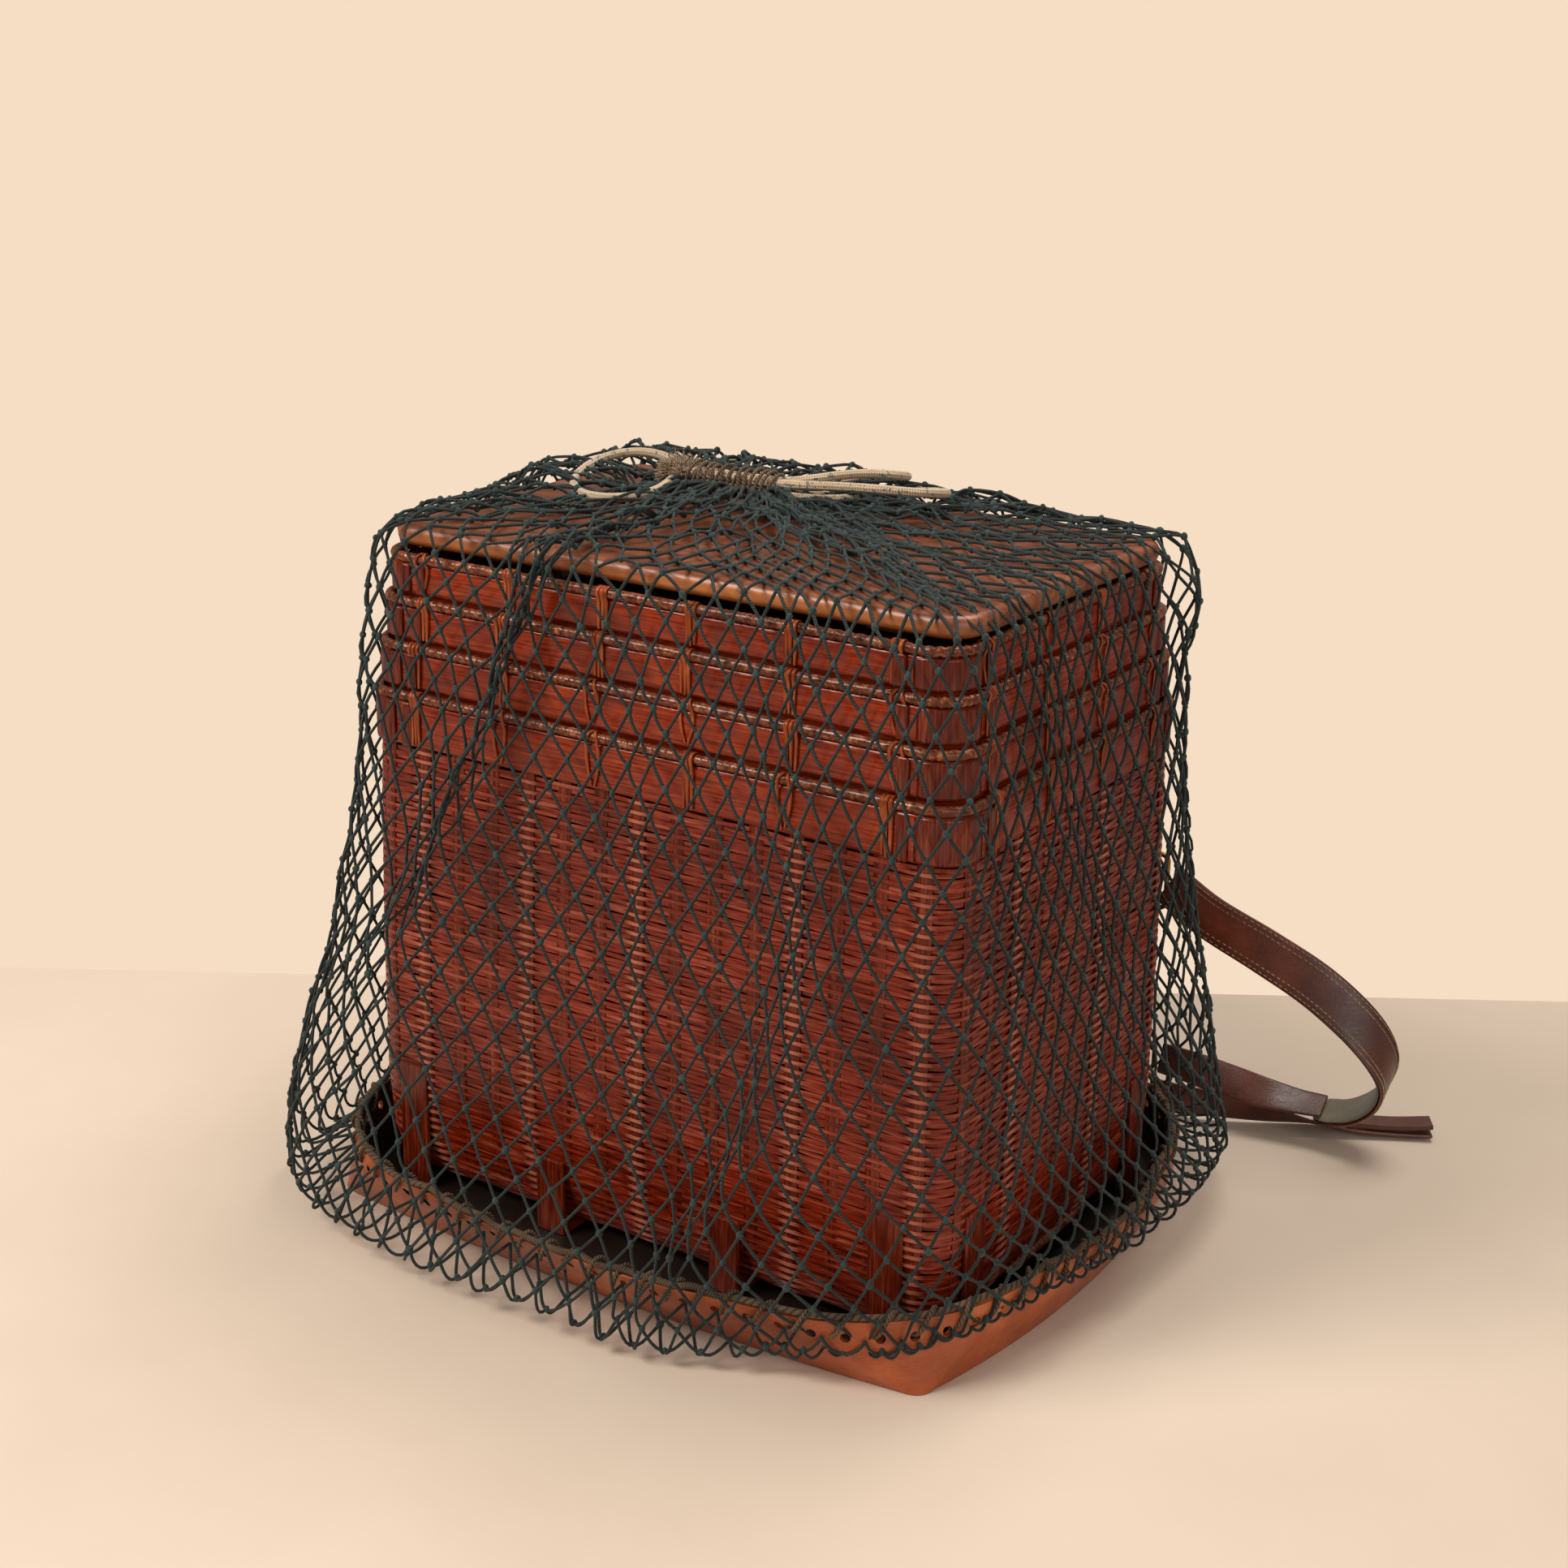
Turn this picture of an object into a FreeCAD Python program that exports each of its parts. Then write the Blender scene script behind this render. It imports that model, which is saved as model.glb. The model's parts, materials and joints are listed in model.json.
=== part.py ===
import FreeCAD, Part
import math
import os

os.makedirs("parts", exist_ok=True)

# A box-shaped bamboo creel: a woven basket body, three lift-out trays and a board lid, standing in a
# net sack with a leather base, with a leather carrying strap behind it.
# Millimetres, +Z up, +X along the long side, -Y towards the front. The origin is on the table, under
# the middle of the basket.

# Basket body
basket_length = 360.0
basket_width = 243.0
basket_corner = 20.0
basket_rise = 277.0            # from the basket's floor line to the middle of its rim bead
wall_thickness = 3.0
wall_swell = 4.0
floor_thickness = 3.0
floor_inset = 1.2

# Rims, the same on the body and on each tray
bead_diameter = 5.5
band_thickness = 2.5
basket_band_height = 24.0
tier_step = 2.5                # how much smaller each tier is than the one below, on each side
tier_gap = 0.3
hoop_thickness = 2.0
hoop_height = 7.0
hoop_drop = 2.0
hoop_fit = 0.05

# Trays
lower_tray_pitch = 25.5        # from one rim bead to the next
middle_tray_pitch = 24.0
upper_tray_pitch = 22.5
lip_thickness = 1.5
lip_drop = 4.5
lip_rise = 6.0
tray_floor_thickness = 2.5
tray_floor_drop = 2.0

# Cane ties over the rims
tie_width = 7.0
tie_thickness = 0.9
tie_fit = 0.15
tie_spacing = 57.0
tie_end_inset = 1.0
tie_slope = 5.5

# Lid
lid_end_inset = 7.0             # the board stops short of the basket's outside
lid_side_inset = 13.5
lid_corner = 18.0
lid_thickness = 11.0
lid_nose = 4.8
lid_gap = 0.35
batten_end_inset = 24.0
batten_width = 18.0
batten_depth = 7.0
batten_spacing = 230.0
batten_fit = 0.05
hinge_loop_width = 14.0
hinge_loop_spacing = 228.0
hinge_loop_thickness = 1.2
hinge_loop_fit = 0.09
hinge_tail_length = 26.0

# Bamboo slats and beads at the foot of the basket
slat_thickness = 4.5
slat_leg_thickness = 2.5
slat_width = 18.0
slat_spacing = 112.0
slat_height = 38.0
corner_slat_width = 19.0
corner_slat_height = 68.0
slat_fit = 0.15
foot_bead_length = 92.0

# Leather base of the sack
base_end_reach = 7.0           # how far its pinched corners stand out past the basket, on the table
base_side_reach = 25.5
base_length_bulge = 10.0       # of the long sides
base_width_bulge = 17.0        # of the short sides
base_tip_radius = 9.0
base_rise = 38.0
rim_end_flare = 20.0           # from the pinched corners up to the rim
rim_side_flare = 31.0
rim_bulge = 12.0
rim_corner = 110.0
leather_thickness = 3.2
lacing_height = 4.4
lacing_fit = 0.05

# Net sack, as the outer form of its netting
twine = 2.4
hem_end_reach = 17.0           # past the leather rim
hem_side_reach = 20.0
hem_corner = 75.0
hem_bottom = 12.0
hem_turn = 9.0                 # how far the fold's lower edge draws in
net_fit = 0.4
net_top_clearance = 1.6
mouth_x = -54.0
mouth_y = 41.0
mouth_length = 56.0
mouth_bore = 7.2
mouth_wall = 2.0
mound_radius = 46.0
mound_height = 6.0

# Openings through the net's skirt: a plain coarse grid of diamonds with slanting bars between them
mesh_bar = 4.0
mesh_border = 7.0
long_side_openings = 7
short_side_openings = 5
opening_rows = 11              # each row stands half an opening above the last
corner_opening_rows = 5
corner_opening_share = 0.6     # how wide those round the corners are beside the others

# Drawstring
cord_diameter = 5.0
knot_diameter = 17.0
knot_length = 15.0

# Leather stay, rings and straps behind the sack
stay_width = 40.0
stay_height = 166.0
stay_thickness = 3.0
stay_x = 104.0
stay_fit = 0.3
rivet_diameter = 4.0
rivet_head_diameter = 9.0
rivet_head_height = 1.6
rivet_height = 25.0
rivet_spacing = 22.0
rivet_fit = 0.08
ring_wire = 3.0
ring_reach = 12.0
ring_corner = 4.0
tab_width = 14.0
tab_thickness = 2.0
tab_length = 24.0
tab_fit = 0.08
tab_stay_fit = 0.1
strap_width = 27.0
strap_thickness = 2.4
lining_thickness = 1.4
lower_strap_width = 20.0
lower_strap_thickness = 2.2
billet_width = 17.0
billet_thickness = 2.6
strap_fit = 0.2
upper_ring_height = 146.0
lower_ring_height = 37.5
billet_ring_height = 12.2
strap_reach = 134.0            # from the ring's outer bar to the loop's far side
strap_drop = 128.0             # from the upper ring down to the loop's lowest point
strap_depth = 28.0             # how far the loop leans away from the sack
billet_reach = 150.0
billet_spread = 62.0
billet_tab_length = 50.0
billet_tab_width = 13.5
billet_tab_lift = 2.4
billet_tab_shares = (0.0, 0.33, 0.67, 1.0)
billet_tab_rise_shares = (1.0, 0.5, 0.5, 1.0)

overrun = 2.0
ribbon_steps = 28
bend_share = 0.45              # how much of a cord's shorter run each bend takes
cubic_millimetres_per_cc = 1000.0

# Worked-out sizes
half = 0.5
lid_length = basket_length - 2 * lid_end_inset
lid_width = basket_width - 2 * lid_side_inset
batten_length = lid_width - 2 * batten_end_inset
base_length = basket_length + 2 * base_end_reach
base_width = basket_width + 2 * base_side_reach
rim_length = base_length + 2 * rim_end_flare
rim_width = base_width + 2 * rim_side_flare
hem_length = rim_length + 2 * hem_end_reach
hem_width = rim_width + 2 * hem_side_reach
bead_radius = bead_diameter * half
floor_line = leather_thickness + slat_thickness + 2 * slat_fit
basket_bead_z = floor_line + basket_rise
lower_bead_z = basket_bead_z + lower_tray_pitch
middle_bead_z = lower_bead_z + middle_tray_pitch
upper_bead_z = middle_bead_z + upper_tray_pitch
bead_top_rise = bead_radius + tie_fit + tie_thickness
lid_bottom = upper_bead_z + bead_top_rise + lid_gap
lid_top = lid_bottom + lid_thickness
hinge_y = basket_width * half - 3 * tier_step - band_thickness * half
crown_bottom = lid_bottom - bead_radius
crown_inner_top = lid_top + net_fit
crown_top = crown_inner_top + twine
ring_wire_radius = ring_wire * half
tab_radius = ring_wire_radius + tab_fit + tab_thickness
stay_inner_y = hem_width * half + stay_fit
stay_outer_y = stay_inner_y + stay_thickness
ring_x = stay_x + stay_width * half + tab_radius + ring_wire
ring_y = stay_outer_y + tab_stay_fit + tab_radius
cord_radius = cord_diameter * half

up = FreeCAD.Vector(0, 0, 1)
along_x = FreeCAD.Vector(1, 0, 0)
along_y = FreeCAD.Vector(0, 1, 0)


def point(x, y, z):
    return FreeCAD.Vector(x, y, z)


def save(node, shape):
    shape.exportStep("parts/" + node + ".step")
    print(node, len(shape.Solids), "solids", round(shape.Volume / cubic_millimetres_per_cc, 2), "cm3")


def group(solids):
    return Part.makeCompound(solids)


def box(x0, x1, y0, y1, z0, z1):
    return Part.makeBox(x1 - x0, y1 - y0, z1 - z0, point(x0, y0, z0))


# Outlines and rings

def outline(half_x, half_y, corner, z, long_bulge=0.0, short_bulge=0.0):
    """A closed four-sided outline with round corners, whose sides may bulge outwards."""
    inner_x = half_x - corner
    inner_y = half_y - corner
    reach = corner * math.sqrt(half)
    edges = []
    starts = ((-inner_x, -half_y), (half_x, -inner_y), (inner_x, half_y), (-half_x, inner_y))
    middles = ((0, -half_y - long_bulge), (half_x + short_bulge, 0),
               (0, half_y + long_bulge), (-half_x - short_bulge, 0))
    ends = ((inner_x, -half_y), (half_x, inner_y), (-inner_x, half_y), (-half_x, -inner_y))
    signs = ((1, -1), (1, 1), (-1, 1), (-1, -1))
    for k in range(4):
        start = point(starts[k][0], starts[k][1], z)
        middle = point(middles[k][0], middles[k][1], z)
        end = point(ends[k][0], ends[k][1], z)
        if long_bulge or short_bulge:
            edges.append(Part.Arc(start, middle, end).toShape())
        else:
            edges.append(Part.LineSegment(start, end).toShape())
        following = starts[(k + 1) % 4]
        turn = point(signs[k][0] * (inner_x + reach), signs[k][1] * (inner_y + reach), z)
        edges.append(Part.Arc(end, turn, point(following[0], following[1], z)).toShape())
    return Part.Wire(edges)


def prism(half_x, half_y, corner, z0, z1):
    face = Part.Face(outline(half_x, half_y, corner, z0))
    return face.extrude(up * (z1 - z0))


def flat_ring(half_x, half_y, corner, wall, z0, z1):
    outer = prism(half_x, half_y, corner, z0, z1)
    inner = prism(half_x - wall, half_y - wall, corner - wall, z0 - overrun, z1 + overrun)
    return outer.cut(inner)


def bead_ring(half_x, half_y, corner, z, radius):
    path = outline(half_x, half_y, corner, z)
    circle = Part.Wire([Part.makeCircle(radius, point(0, -half_y, z), along_x)])
    start_edge = Part.LineSegment(point(0, -half_y, z), point(half_x - corner, -half_y, z)).toShape()
    last_edge = Part.LineSegment(point(-half_x + corner, -half_y, z), point(0, -half_y, z)).toShape()
    spine = Part.Wire([start_edge] + path.Edges[1:] + [last_edge])
    return spine.makePipeShell([circle], True, True)


def skin(outer_wires, inner_wires, ruled=False):
    outer = Part.makeLoft(outer_wires, True, ruled)
    inner = Part.makeLoft(inner_wires, True, ruled)
    return outer.cut(inner)


# Tiers: the basket's rim and the three trays

def tier_sizes(steps_in):
    inset = steps_in * tier_step
    return basket_length * half - inset, basket_width * half - inset, basket_corner


def tie_profile(place, outward, bead_z, band_bottom):
    """One cane strip over the bead and down the band, as an outline seen from its end."""
    def at(out, z):
        return place + outward * out + up * z
    middle = -band_thickness * half
    inner_radius = bead_radius + tie_fit
    outer_radius = inner_radius + tie_thickness
    low = band_bottom + tie_end_inset
    over_outer = Part.Arc(at(middle - outer_radius, bead_z), at(middle, bead_z + outer_radius),
                          at(middle + outer_radius, bead_z)).toShape()
    over_inner = Part.Arc(at(middle + inner_radius, bead_z), at(middle, bead_z + inner_radius),
                          at(middle - inner_radius, bead_z)).toShape()
    corners = [at(middle + outer_radius, bead_z), at(hoop_fit + tie_thickness, bead_z - tie_slope),
               at(hoop_fit + tie_thickness, low), at(hoop_fit, low),
               at(hoop_fit, bead_z - tie_slope), at(middle + inner_radius, bead_z)]
    sides = [Part.LineSegment(a, b).toShape() for a, b in zip(corners, corners[1:])]
    closing = Part.LineSegment(at(middle - inner_radius, bead_z),
                               at(middle - outer_radius, bead_z)).toShape()
    return Part.Face(Part.Wire([over_outer] + sides + [over_inner, closing]))


def tie_places(run):
    count = int((run - tie_width) / tie_spacing)
    count += 1
    first = -tie_spacing * (count - 1) * half
    return [first + tie_spacing * k for k in range(count)]


def ties(half_x, half_y, corner, bead_z, band_bottom):
    solids = []
    for x in tie_places(2 * (half_x - corner)):
        for side in (-1, 1):
            start = point(x - tie_width * half, side * half_y, 0)
            face = tie_profile(start, along_y * side, bead_z, band_bottom)
            solids.append(face.extrude(along_x * tie_width))
    for y in tie_places(2 * (half_y - corner)):
        for side in (-1, 1):
            start = point(side * half_x, y - tie_width * half, 0)
            face = tie_profile(start, along_x * side, bead_z, band_bottom)
            solids.append(face.extrude(along_y * tie_width))
    return group(solids)


def make_rim(prefix, steps_in, bead_z, band_bottom):
    """Band, wound bead, inner hoop and cane ties of one tier."""
    half_x, half_y, corner = tier_sizes(steps_in)
    band_top = bead_z - bead_radius
    middle = band_thickness * half
    save(prefix + "_band", flat_ring(half_x, half_y, corner, band_thickness, band_bottom, band_top))
    save(prefix + "_bead",
         bead_ring(half_x - middle, half_y - middle, corner - middle, bead_z, bead_radius))
    inset = band_thickness + hoop_fit
    return half_x, half_y, corner, inset, band_top


def make_tray(prefix, steps_in, bead_z, bead_below_z):
    band_bottom = bead_below_z + bead_top_rise + tier_gap
    half_x, half_y, corner, inset, band_top = make_rim(prefix, steps_in, bead_z, band_bottom)
    save(prefix + "_hoop",
         flat_ring(half_x - inset, half_y - inset, corner - inset, hoop_thickness,
                   band_top - hoop_drop - hoop_height, band_top - hoop_drop))
    save(prefix + "_lip",
         flat_ring(half_x - inset, half_y - inset, corner - inset, lip_thickness,
                   band_bottom - lip_drop, min(band_bottom + lip_rise,
                                               band_top - hoop_drop - hoop_height - hoop_fit)))
    floor_inset_all = inset + lip_thickness + hoop_fit
    floor_bottom = band_bottom - tray_floor_drop
    save(prefix + "_floor",
         prism(half_x - floor_inset_all, half_y - floor_inset_all, corner - floor_inset_all,
               floor_bottom, floor_bottom + tray_floor_thickness))
    save(prefix + "_ties", ties(half_x, half_y, corner, bead_z, band_bottom))


# The basket body

wall_height_shares = (0.0, 0.035, 0.09, 0.22, 0.5, 0.8, 0.905, 1.0)
wall_growth_shares = (-2.6, -0.9, 0.2, 0.8, 0.75, 0.3, 0.0, 0.0)


def wall_wires(inset):
    half_x, half_y, corner = tier_sizes(0)
    top = basket_bead_z - bead_radius
    wires = []
    for height, growth in zip(wall_height_shares, wall_growth_shares):
        grow = growth * wall_swell - band_thickness - hoop_fit - inset
        z = floor_line + height * (top - floor_line)
        round_corner = corner - band_thickness - hoop_fit - inset + max(growth, 0.0) * wall_swell
        wires.append(outline(half_x + grow, half_y + grow, round_corner, z))
    return wires


def make_basket():
    half_x, half_y, corner = tier_sizes(0)
    wall = skin(wall_wires(0.0), wall_wires(wall_thickness), True)
    save("basket_wall", wall)
    draw_in = band_thickness + hoop_fit - wall_growth_shares[0] * wall_swell
    draw_in += wall_thickness + floor_inset * half
    save("basket_floor", prism(half_x - draw_in, half_y - draw_in, corner - wall_thickness,
                               floor_line, floor_line + floor_thickness))
    band_top = basket_bead_z - bead_radius
    band_bottom = band_top - basket_band_height
    make_rim("basket_rim", 0, basket_bead_z, band_bottom)
    save("basket_rim_ties", ties(half_x, half_y, corner, basket_bead_z, band_bottom))
    inset = band_thickness + 2 * hoop_fit + wall_thickness
    save("basket_rim_hoop",
         flat_ring(half_x - inset, half_y - inset, corner - inset, hoop_thickness,
                   band_top - lip_drop - 2 * hoop_drop - hoop_height, band_top - lip_drop - hoop_drop))


def make_foot():
    """Slats under the floor that turn up at the long sides, slats at the corners, side beads."""
    half_x, half_y, corner = tier_sizes(0)
    reach_y = half_y - band_thickness + wall_swell * max(wall_growth_shares) + slat_fit
    reach_x = reach_y + half_x - half_y
    low = leather_thickness + slat_fit
    runners = []
    for x in (-slat_spacing * half, slat_spacing * half):
        outer_y = reach_y + slat_leg_thickness
        bar = box(x - slat_width * half, x + slat_width * half, -outer_y, outer_y,
                  low, low + slat_thickness)
        legs = [box(x - slat_width * half, x + slat_width * half, min(side * reach_y, side * outer_y),
                    max(side * reach_y, side * outer_y), low, floor_line + slat_height)
                for side in (-1, 1)]
        runners.append(bar.fuse(legs[0]).fuse(legs[1]).removeSplitter())
    save("foot_slats", group(runners))
    corners = []
    for side_x in (-1, 1):
        for side_y in (-1, 1):
            x_far = half_x - corner
            y_far = half_y - corner
            long_leg = box(x_far - corner_slat_width, x_far, reach_y, reach_y + slat_leg_thickness,
                           low, floor_line + corner_slat_height)
            short_leg = box(reach_x, reach_x + slat_leg_thickness, y_far - corner_slat_width, y_far,
                            low, floor_line + corner_slat_height)
            for leg in (long_leg, short_leg):
                if side_x < 0:
                    leg = leg.mirror(point(0, 0, 0), along_x)
                if side_y < 0:
                    leg = leg.mirror(point(0, 0, 0), along_y)
                corners.append(leg)
    save("corner_slats", group(corners))
    beads = []
    wall_height = basket_bead_z - bead_radius - floor_line
    seat_x = half_x - band_thickness - hoop_fit + wall_growth_shares[1] * wall_swell
    face_rise = (wall_height_shares[2] - wall_height_shares[1]) * wall_height
    face_run = (wall_growth_shares[2] - wall_growth_shares[1]) * wall_swell
    centre_x = seat_x + (bead_radius + slat_fit) * math.hypot(face_rise, face_run) / face_rise
    for side in (-1, 1):
        start = point(side * centre_x, -foot_bead_length * half,
                      floor_line + wall_height_shares[1] * wall_height)
        beads.append(Part.makeCylinder(bead_radius, foot_bead_length, start, along_y))
    save("side_foot_beads", group(beads))


# The lid

hinge_opening_degrees = (235, 275, 315, 355, 400)


def make_lid():
    board = prism(lid_length * half, lid_width * half, lid_corner, lid_bottom, lid_top)
    rims = [e for e in board.Edges
            if abs(e.BoundBox.ZMax - e.BoundBox.ZMin) < lid_gap]
    save("lid_board", board.makeFillet(lid_nose, rims))
    battens = []
    for side in (-1, 1):
        x = side * batten_spacing * half
        battens.append(box(x - batten_width * half, x + batten_width * half,
                           -batten_length * half, batten_length * half,
                           lid_bottom - batten_fit - batten_depth, lid_bottom - batten_fit))
    save("lid_battens", group(battens))
    loops = []
    inner = bead_radius + hinge_loop_fit
    outer = inner + hinge_loop_thickness
    for side in (-1, 1):
        x0 = side * hinge_loop_spacing * half - hinge_loop_width * half
        start = point(x0, hinge_y, upper_bead_z)
        sleeve = Part.makeCylinder(outer, hinge_loop_width, start, along_x)
        bore = Part.makeCylinder(inner, hinge_loop_width + 2 * overrun, start - along_x * overrun,
                                 along_x)
        tail = box(x0, x0 + hinge_loop_width, hinge_y - hinge_tail_length, hinge_y,
                   upper_bead_z + inner, upper_bead_z + outer)
        open_side = [start - along_x * overrun]
        for angle in hinge_opening_degrees:
            turn = math.radians(angle)
            open_side.append(open_side[0] + along_y * (2 * outer * math.cos(turn))
                             + up * (2 * outer * math.sin(turn)))
        wedge = Part.Face(Part.makePolygon(open_side + open_side[:1]))
        wedge = wedge.extrude(along_x * (hinge_loop_width + 2 * overrun))
        loops.append(sleeve.cut(wedge).fuse(tail).cut(bore).removeSplitter())
    save("lid_hinge_loops", group(loops))


# Leather base and the net sack

def base_wires(inset, low, high):
    """Outlines of the base's side, drawn in by inset, between two heights."""
    wires = []
    for z in (low, high):
        rise = z / base_rise
        half_x = (base_length + (rim_length - base_length) * rise) * half - inset
        half_y = (base_width + (rim_width - base_width) * rise) * half - inset
        corner = base_tip_radius + (rim_corner - base_tip_radius) * rise
        long_bulge = base_length_bulge + (rim_bulge - base_length_bulge) * rise
        short_bulge = base_width_bulge + (rim_bulge - base_width_bulge) * rise
        wires.append(outline(half_x, half_y, max(corner - inset, base_tip_radius * half), z,
                             long_bulge, short_bulge))
    return wires


def rivet_places():
    return [stay_x - rivet_spacing * half, stay_x + rivet_spacing * half]


def rivet_holes(radius):
    length = stay_outer_y - basket_width * half
    return [Part.makeCylinder(radius, length + overrun, point(x, stay_outer_y + overrun, rivet_height),
                              along_y * -1)
            for x in rivet_places()]


def drill(shape):
    for hole in rivet_holes(rivet_diameter * half + rivet_fit):
        shape = shape.cut(hole)
    return shape


def make_base():
    outer = Part.makeLoft(base_wires(0.0, 0.0, base_rise), True, True)
    inner = Part.makeLoft(base_wires(leather_thickness, leather_thickness, base_rise + overrun),
                          True, True)
    save("leather_base", drill(outer.cut(inner)))
    top = base_rise + lacing_fit
    lacing_outer = Part.makeLoft(base_wires(0.0, top, top + lacing_height), True, True)
    lacing_inner = Part.makeLoft(base_wires(leather_thickness, top - overrun,
                                            top + lacing_height + overrun), True, True)
    save("rim_lacing", lacing_outer.cut(lacing_inner))


def hem_outline(grow, z):
    return outline(hem_length * half + grow, hem_width * half + grow, hem_corner, z)


def make_hem():
    top = base_rise + lacing_height
    outer = Part.makeLoft([hem_outline(-hem_turn, hem_bottom), hem_outline(0.0, (hem_bottom + top) * half),
                           hem_outline(0.0, top)], True, True)
    inner = Part.makeLoft(base_wires(-net_fit, hem_bottom - overrun, top + overrun), True, True)
    save("net_hem", drill(outer.cut(inner)))


def crown_half_sizes():
    grow = bead_radius + net_top_clearance + twine - 3 * tier_step
    return basket_length * half + grow, basket_width * half + grow


skirt_height_shares = (0.0, 0.10, 0.27, 0.5, 0.75, 1.0)
skirt_flare_shares = (1.0, 0.93, 0.64, 0.37, 0.14, 0.0)


def skirt_ends():
    return base_rise + lacing_height + net_fit * half, crown_bottom - net_fit * half


def skirt_sizes(flare):
    """Half length, half width and corner of the skirt where it has this share of its flare."""
    top_x, top_y = crown_half_sizes()
    return (top_x + (hem_length * half - top_x) * flare, top_y + (hem_width * half - top_y) * flare,
            lid_corner + (hem_corner - lid_corner) * flare)


def skirt_wires(inset, extra):
    """The sack's outline from its hem up to the lid, following the basket and flaring downwards."""
    low, high = skirt_ends()
    wires = []
    for height, flare in zip(skirt_height_shares, skirt_flare_shares):
        z = low + height * (high - low)
        if height == 0.0:
            z -= extra
        if height == 1.0:
            z += extra
        half_x, half_y, corner = skirt_sizes(flare)
        wires.append(outline(half_x - inset, half_y - inset, corner - inset, z))
    return wires


def flare_at(height):
    """The share of the flare at a share of the skirt's height."""
    for k in range(len(skirt_height_shares) - 1):
        if height <= skirt_height_shares[k + 1]:
            break
    part = (height - skirt_height_shares[k]) / (skirt_height_shares[k + 1] - skirt_height_shares[k])
    return skirt_flare_shares[k] + part * (skirt_flare_shares[k + 1] - skirt_flare_shares[k])


def diamond(middle, sideways, half_width, half_height, drive):
    """A diamond-shaped prism that leaves a bar's half width free on each of its four sides."""
    clear = mesh_bar * half * math.hypot(half_width, half_height)
    wide = half_width - clear / half_height
    tall = half_height - clear / half_width
    corners = [middle - sideways * wide, middle - up * tall, middle + sideways * wide, middle + up * tall]
    return Part.Face(Part.makePolygon(corners + corners[:1])).extrude(drive)


def side_openings(sideways, count, half_width, half_height, depth):
    """Openings through two facing sides of the skirt; every other row has one fewer."""
    low = skirt_ends()[0] + mesh_border
    drive = sideways.cross(up) * (2 * depth)
    cutters = []
    for row in range(opening_rows):
        in_row = count - row % 2
        z = low + half_height * (row + 1)
        for k in range(in_row):
            at = sideways * (half_width * (2 * k - in_row + 1)) + up * z
            cutters.append(diamond(at - drive * half, sideways, half_width, half_height, drive))
    return cutters


def corner_openings(half_width):
    """One column of openings round each corner, which follows the corner as the skirt flares."""
    low, high = skirt_ends()
    half_height = (high - low - 2 * mesh_border) / corner_opening_rows * half
    cutters = []
    for row in range(corner_opening_rows):
        z = low + mesh_border + half_height * (2 * row + 1)
        half_x, half_y, corner = skirt_sizes(flare_at((z - low) / (high - low)))
        for side_x in (-1, 1):
            for side_y in (-1, 1):
                outward = (along_x * side_x + along_y * side_y).normalize()
                start = point(side_x * (half_x - corner), side_y * (half_y - corner), z)
                cutters.append(diamond(start, outward.cross(up), half_width * corner_opening_share,
                                       half_height, outward * (corner + hem_corner)))
    return cutters


def make_skirt():
    """The sack's side, open as a net is: the grid is coarse and the render has the fine mesh."""
    low, high = skirt_ends()
    half_height = (high - low - 2 * mesh_border) / (opening_rows + 1)
    runs = [min(skirt_sizes(flare)[side] - skirt_sizes(flare)[2] for flare in (0.0, 1.0))
            for side in (0, 1)]
    long_half = runs[0] / long_side_openings
    short_half = runs[1] / short_side_openings
    skirt = skin(skirt_wires(0.0, 0.0), skirt_wires(twine, overrun * net_fit), True)
    skirt = skirt.cut(side_openings(along_x, long_side_openings, long_half, half_height, hem_width))
    skirt = skirt.cut(side_openings(along_y, short_side_openings, short_half, half_height, hem_length))
    skirt = skirt.cut(corner_openings(short_half))
    save("net_skirt", skirt)


def make_crown():
    top_x, top_y = crown_half_sizes()
    outer = prism(top_x, top_y, lid_corner, crown_bottom, crown_top)
    mound = Part.makeCone(mound_radius, mouth_bore, mound_height,
                          point(mouth_x, mouth_y, crown_top), up)
    inner = prism(top_x - twine, top_y - twine, lid_corner - twine, crown_bottom - overrun,
                  crown_inner_top)
    shell = outer.cut(inner)
    axis_z = mouth_axis_z()
    channel = Part.makeCylinder(mouth_bore + mouth_wall + net_fit * half, mouth_length + 2 * knot_length,
                                point(mouth_x - mouth_length * half - knot_length, mouth_y, axis_z),
                                along_x)
    trimmed = mound.cut(channel)
    solids = sorted(trimmed.Solids, key=lambda s: -s.Volume)
    save("net_crown", shell.fuse(solids[0]).removeSplitter() if solids else shell)
    tube = Part.makeCylinder(mouth_bore + mouth_wall, mouth_length,
                             point(mouth_x - mouth_length * half, mouth_y, axis_z), along_x)
    hole = Part.makeCylinder(mouth_bore, mouth_length + 2 * overrun,
                             point(mouth_x - mouth_length * half - overrun, mouth_y, axis_z), along_x)
    save("net_mouth_loops", tube.cut(hole))


def mouth_axis_z():
    return crown_top + mouth_bore + mouth_wall + net_fit


# Drawstring: a loop on one side of the knot and two bights on the other

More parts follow.
